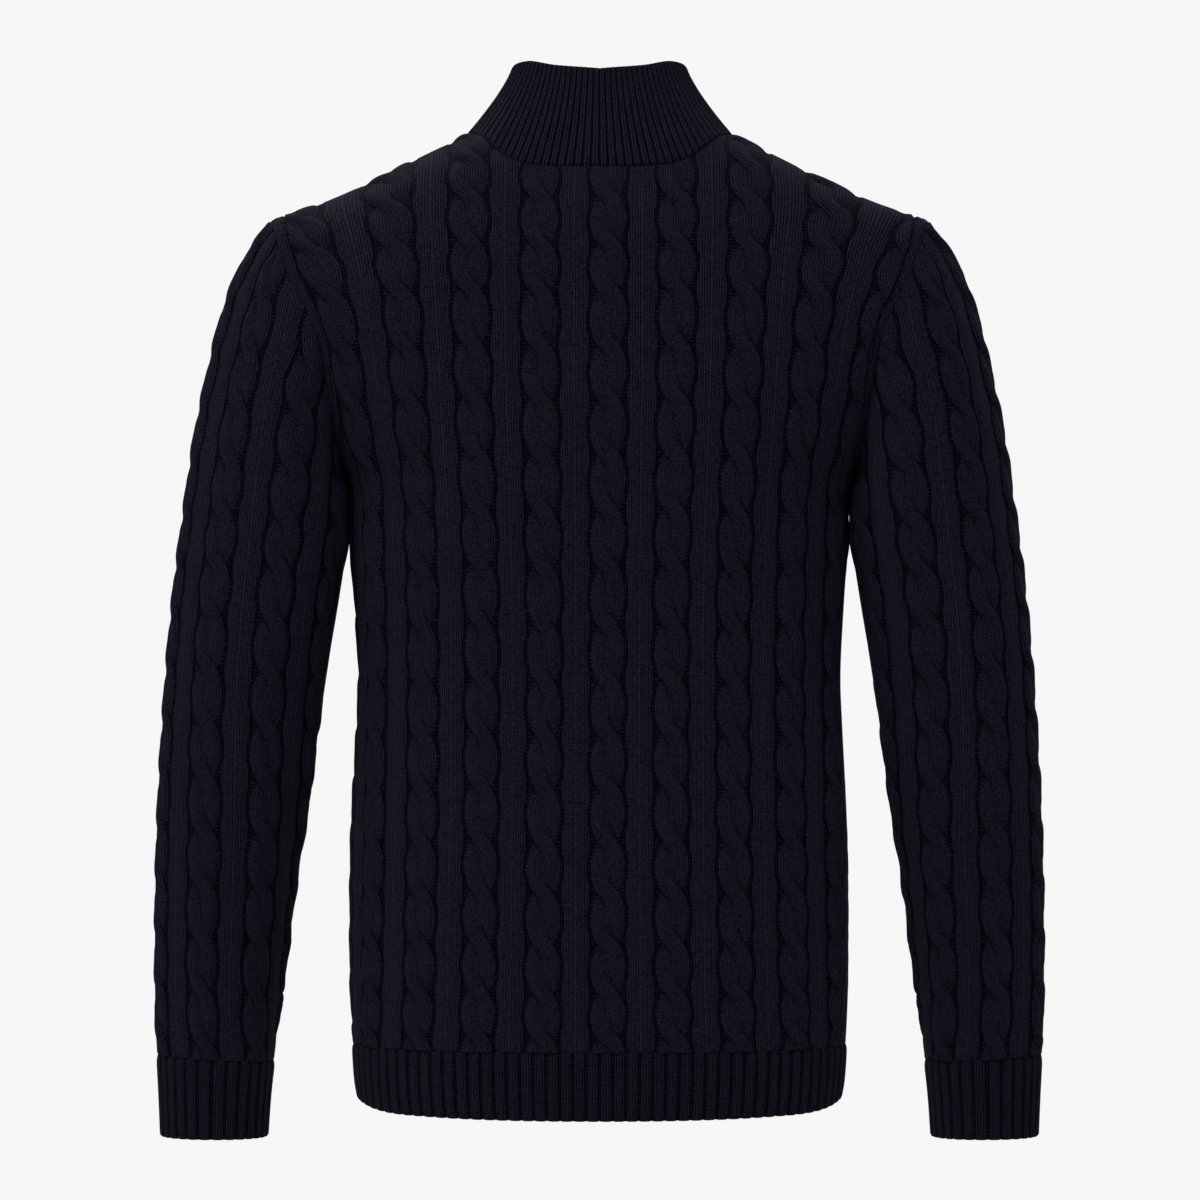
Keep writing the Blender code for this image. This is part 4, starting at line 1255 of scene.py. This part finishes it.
def make_stops(made):
    """The two top stops and the bottom stop."""
    line = zip_line(6, 10)
    tangent, out = line_frame(line)
    stops = []
    for name, sign in (("top_stop_left", 1.0), ("top_stop_right", -1.0)):
        place = line[0] + tangent[0] * 4.2 + out[0] * 1.0
        place[0] = sign * 1.8
        stops.append(finish_hard(block(name, (2.6, 3.2, 4.0), 0.5, made, place, out[0], 3)))
    place = line[-1] - tangent[-1] * 4.0 + out[-1] * 1.0
    stops.append(finish_hard(block("bottom_stop", (6.0, 3.2, 3.6), 0.6, made, place, out[-1], 3)))
    return stops


# ---------------------------------------------------------------- scene
def make_camera():
    """The camera, level with the garment's middle, straight behind it."""
    data = bpy.data.cameras.new("camera")
    camera = bpy.data.objects.new("camera", data)
    bpy.context.scene.collection.objects.link(camera)
    camera.location = (-0.0004, CAMERA_AWAY, -0.3315)
    camera.rotation_euler = (math.radians(90), 0, math.radians(180))
    data.sensor_width = 36.0
    data.lens = data.sensor_width * CAMERA_AWAY / SEEN_WIDTH
    bpy.context.scene.camera = camera


def area_light(name, place, size, power):
    """A square soft light aimed at the garment's middle."""
    data = bpy.data.lights.new(name, "AREA")
    data.shape = "SQUARE"
    data.size = size
    data.energy = power
    light = bpy.data.objects.new(name, data)
    bpy.context.scene.collection.objects.link(light)
    light.location = place
    light.rotation_euler = (Vector(LIT) - Vector(place)).to_track_quat("-Z", "Y").to_euler()


def make_studio():
    """Pale floor, pale surroundings and soft lights."""
    world = bpy.data.worlds.new("studio")
    bpy.context.scene.world = world
    world.use_nodes = True
    world.node_tree.nodes.clear()
    m = Nodes(world.node_tree)
    seen = m.add("Background", {0: (0.925, 0.925, 0.925, 1.0)}).outputs[0]
    lit = m.add("Background", {0: (0.95, 0.97, 1.0, 1.0), 1: 0.30}).outputs[0]
    path = m.add("LightPath", {}).outputs["Is Camera Ray"]
    m.add("OutputWorld", {0: m.add("MixShader", {0: path, 1: lit, 2: seen}).outputs[0]})
    for light in LIGHTS:
        area_light(*light)
    bpy.ops.mesh.primitive_circle_add(vertices=96, radius=6.0, fill_type="NGON", location=(0, 0, -1.45))
    floor = bpy.context.object
    floor.name = "floor"
    paint, m, shader = shader_tree("floor_paint")
    m.fill(shader, {"Base Color": (0.86, 0.86, 0.86, 1.0), "Roughness": 0.9,
                    "Emission Color": (1.0, 1.0, 1.0, 1.0), "Emission Strength": 0.2})
    floor.data.materials.append(paint)
    view = bpy.context.scene.view_settings
    view.view_transform = "Standard"
    view.look = "None"
    view.exposure = 0.0
    view.gamma = 1.0


def assign(piece, node=None, body="garment"):
    """Attaches a piece to its body and hides the CAD piece that it replaces."""
    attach(piece, body)
    if node:
        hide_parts(node)


def main():
    make_camera()
    make_studio()
    stitches, yarn = stitch_group(), yarn_group()
    cables = cable_group(stitches)
    cloths = [knit_material("cable_knit", yarn, NAVY, cable_detail(cables), 3.6),
              knit_material("cable_knit_wrong_side", yarn, NAVY, wrong_side_detail, 3.2)]
    rib = [knit_material("rib_knit", yarn, RIB_NAVY, rib_detail(stitches, 2, 1.35), 2.4)]
    neck_rib = [knit_material("neck_rib_knit", yarn, NECK_NAVY, rib_detail(stitches, 1, 1.15), 2.4)]
    pieces = {
        "back_panel": make_panel("back_panel_knit", BACK, cloths),
        "front_panel": make_panel("front_panel_knit", FRONT, cloths),
        "sleeve_left": make_sleeve("sleeve_left_knit", 1, cloths),
        "sleeve_right": make_sleeve("sleeve_right_knit", -1, cloths),
        "hem_rib_back": make_hem("hem_back_ribbed", BACK, 48, rib),
        "hem_rib_front": make_hem("hem_front_ribbed", FRONT, 50, rib),
        "cuff_left": make_cuff("cuff_left_ribbed", 1, 28, rib),
        "cuff_right": make_cuff("cuff_right_ribbed", -1, 28, rib),
        "collar": make_collar("collar_ribbed", 96, neck_rib),
    }
    for node, piece in pieces.items():
        assign(piece, node)
    tape, metal = tape_material(), metal_material()
    for side, sign in (("left", 1.0), ("right", -1.0)):
        node = f"zip_tape_{side}"
        pieces[node] = make_tape(f"{node}_woven", sign, [tape])
        assign(pieces[node], node)
    hard = [make_slider(metal), *make_stops(metal)]
    nodes = ("zip_slider", "zip_top_stop_left", "zip_top_stop_right", "zip_bottom_stop")
    for piece, node in zip(hard, nodes):
        assign(piece, node)
    for side, sign in (("left", 1.0), ("right", -1.0)):
        assign(make_teeth(f"teeth_{side}", sign, metal))
    assign(make_pull(metal), "zip_pull", "pull_tab")


main()
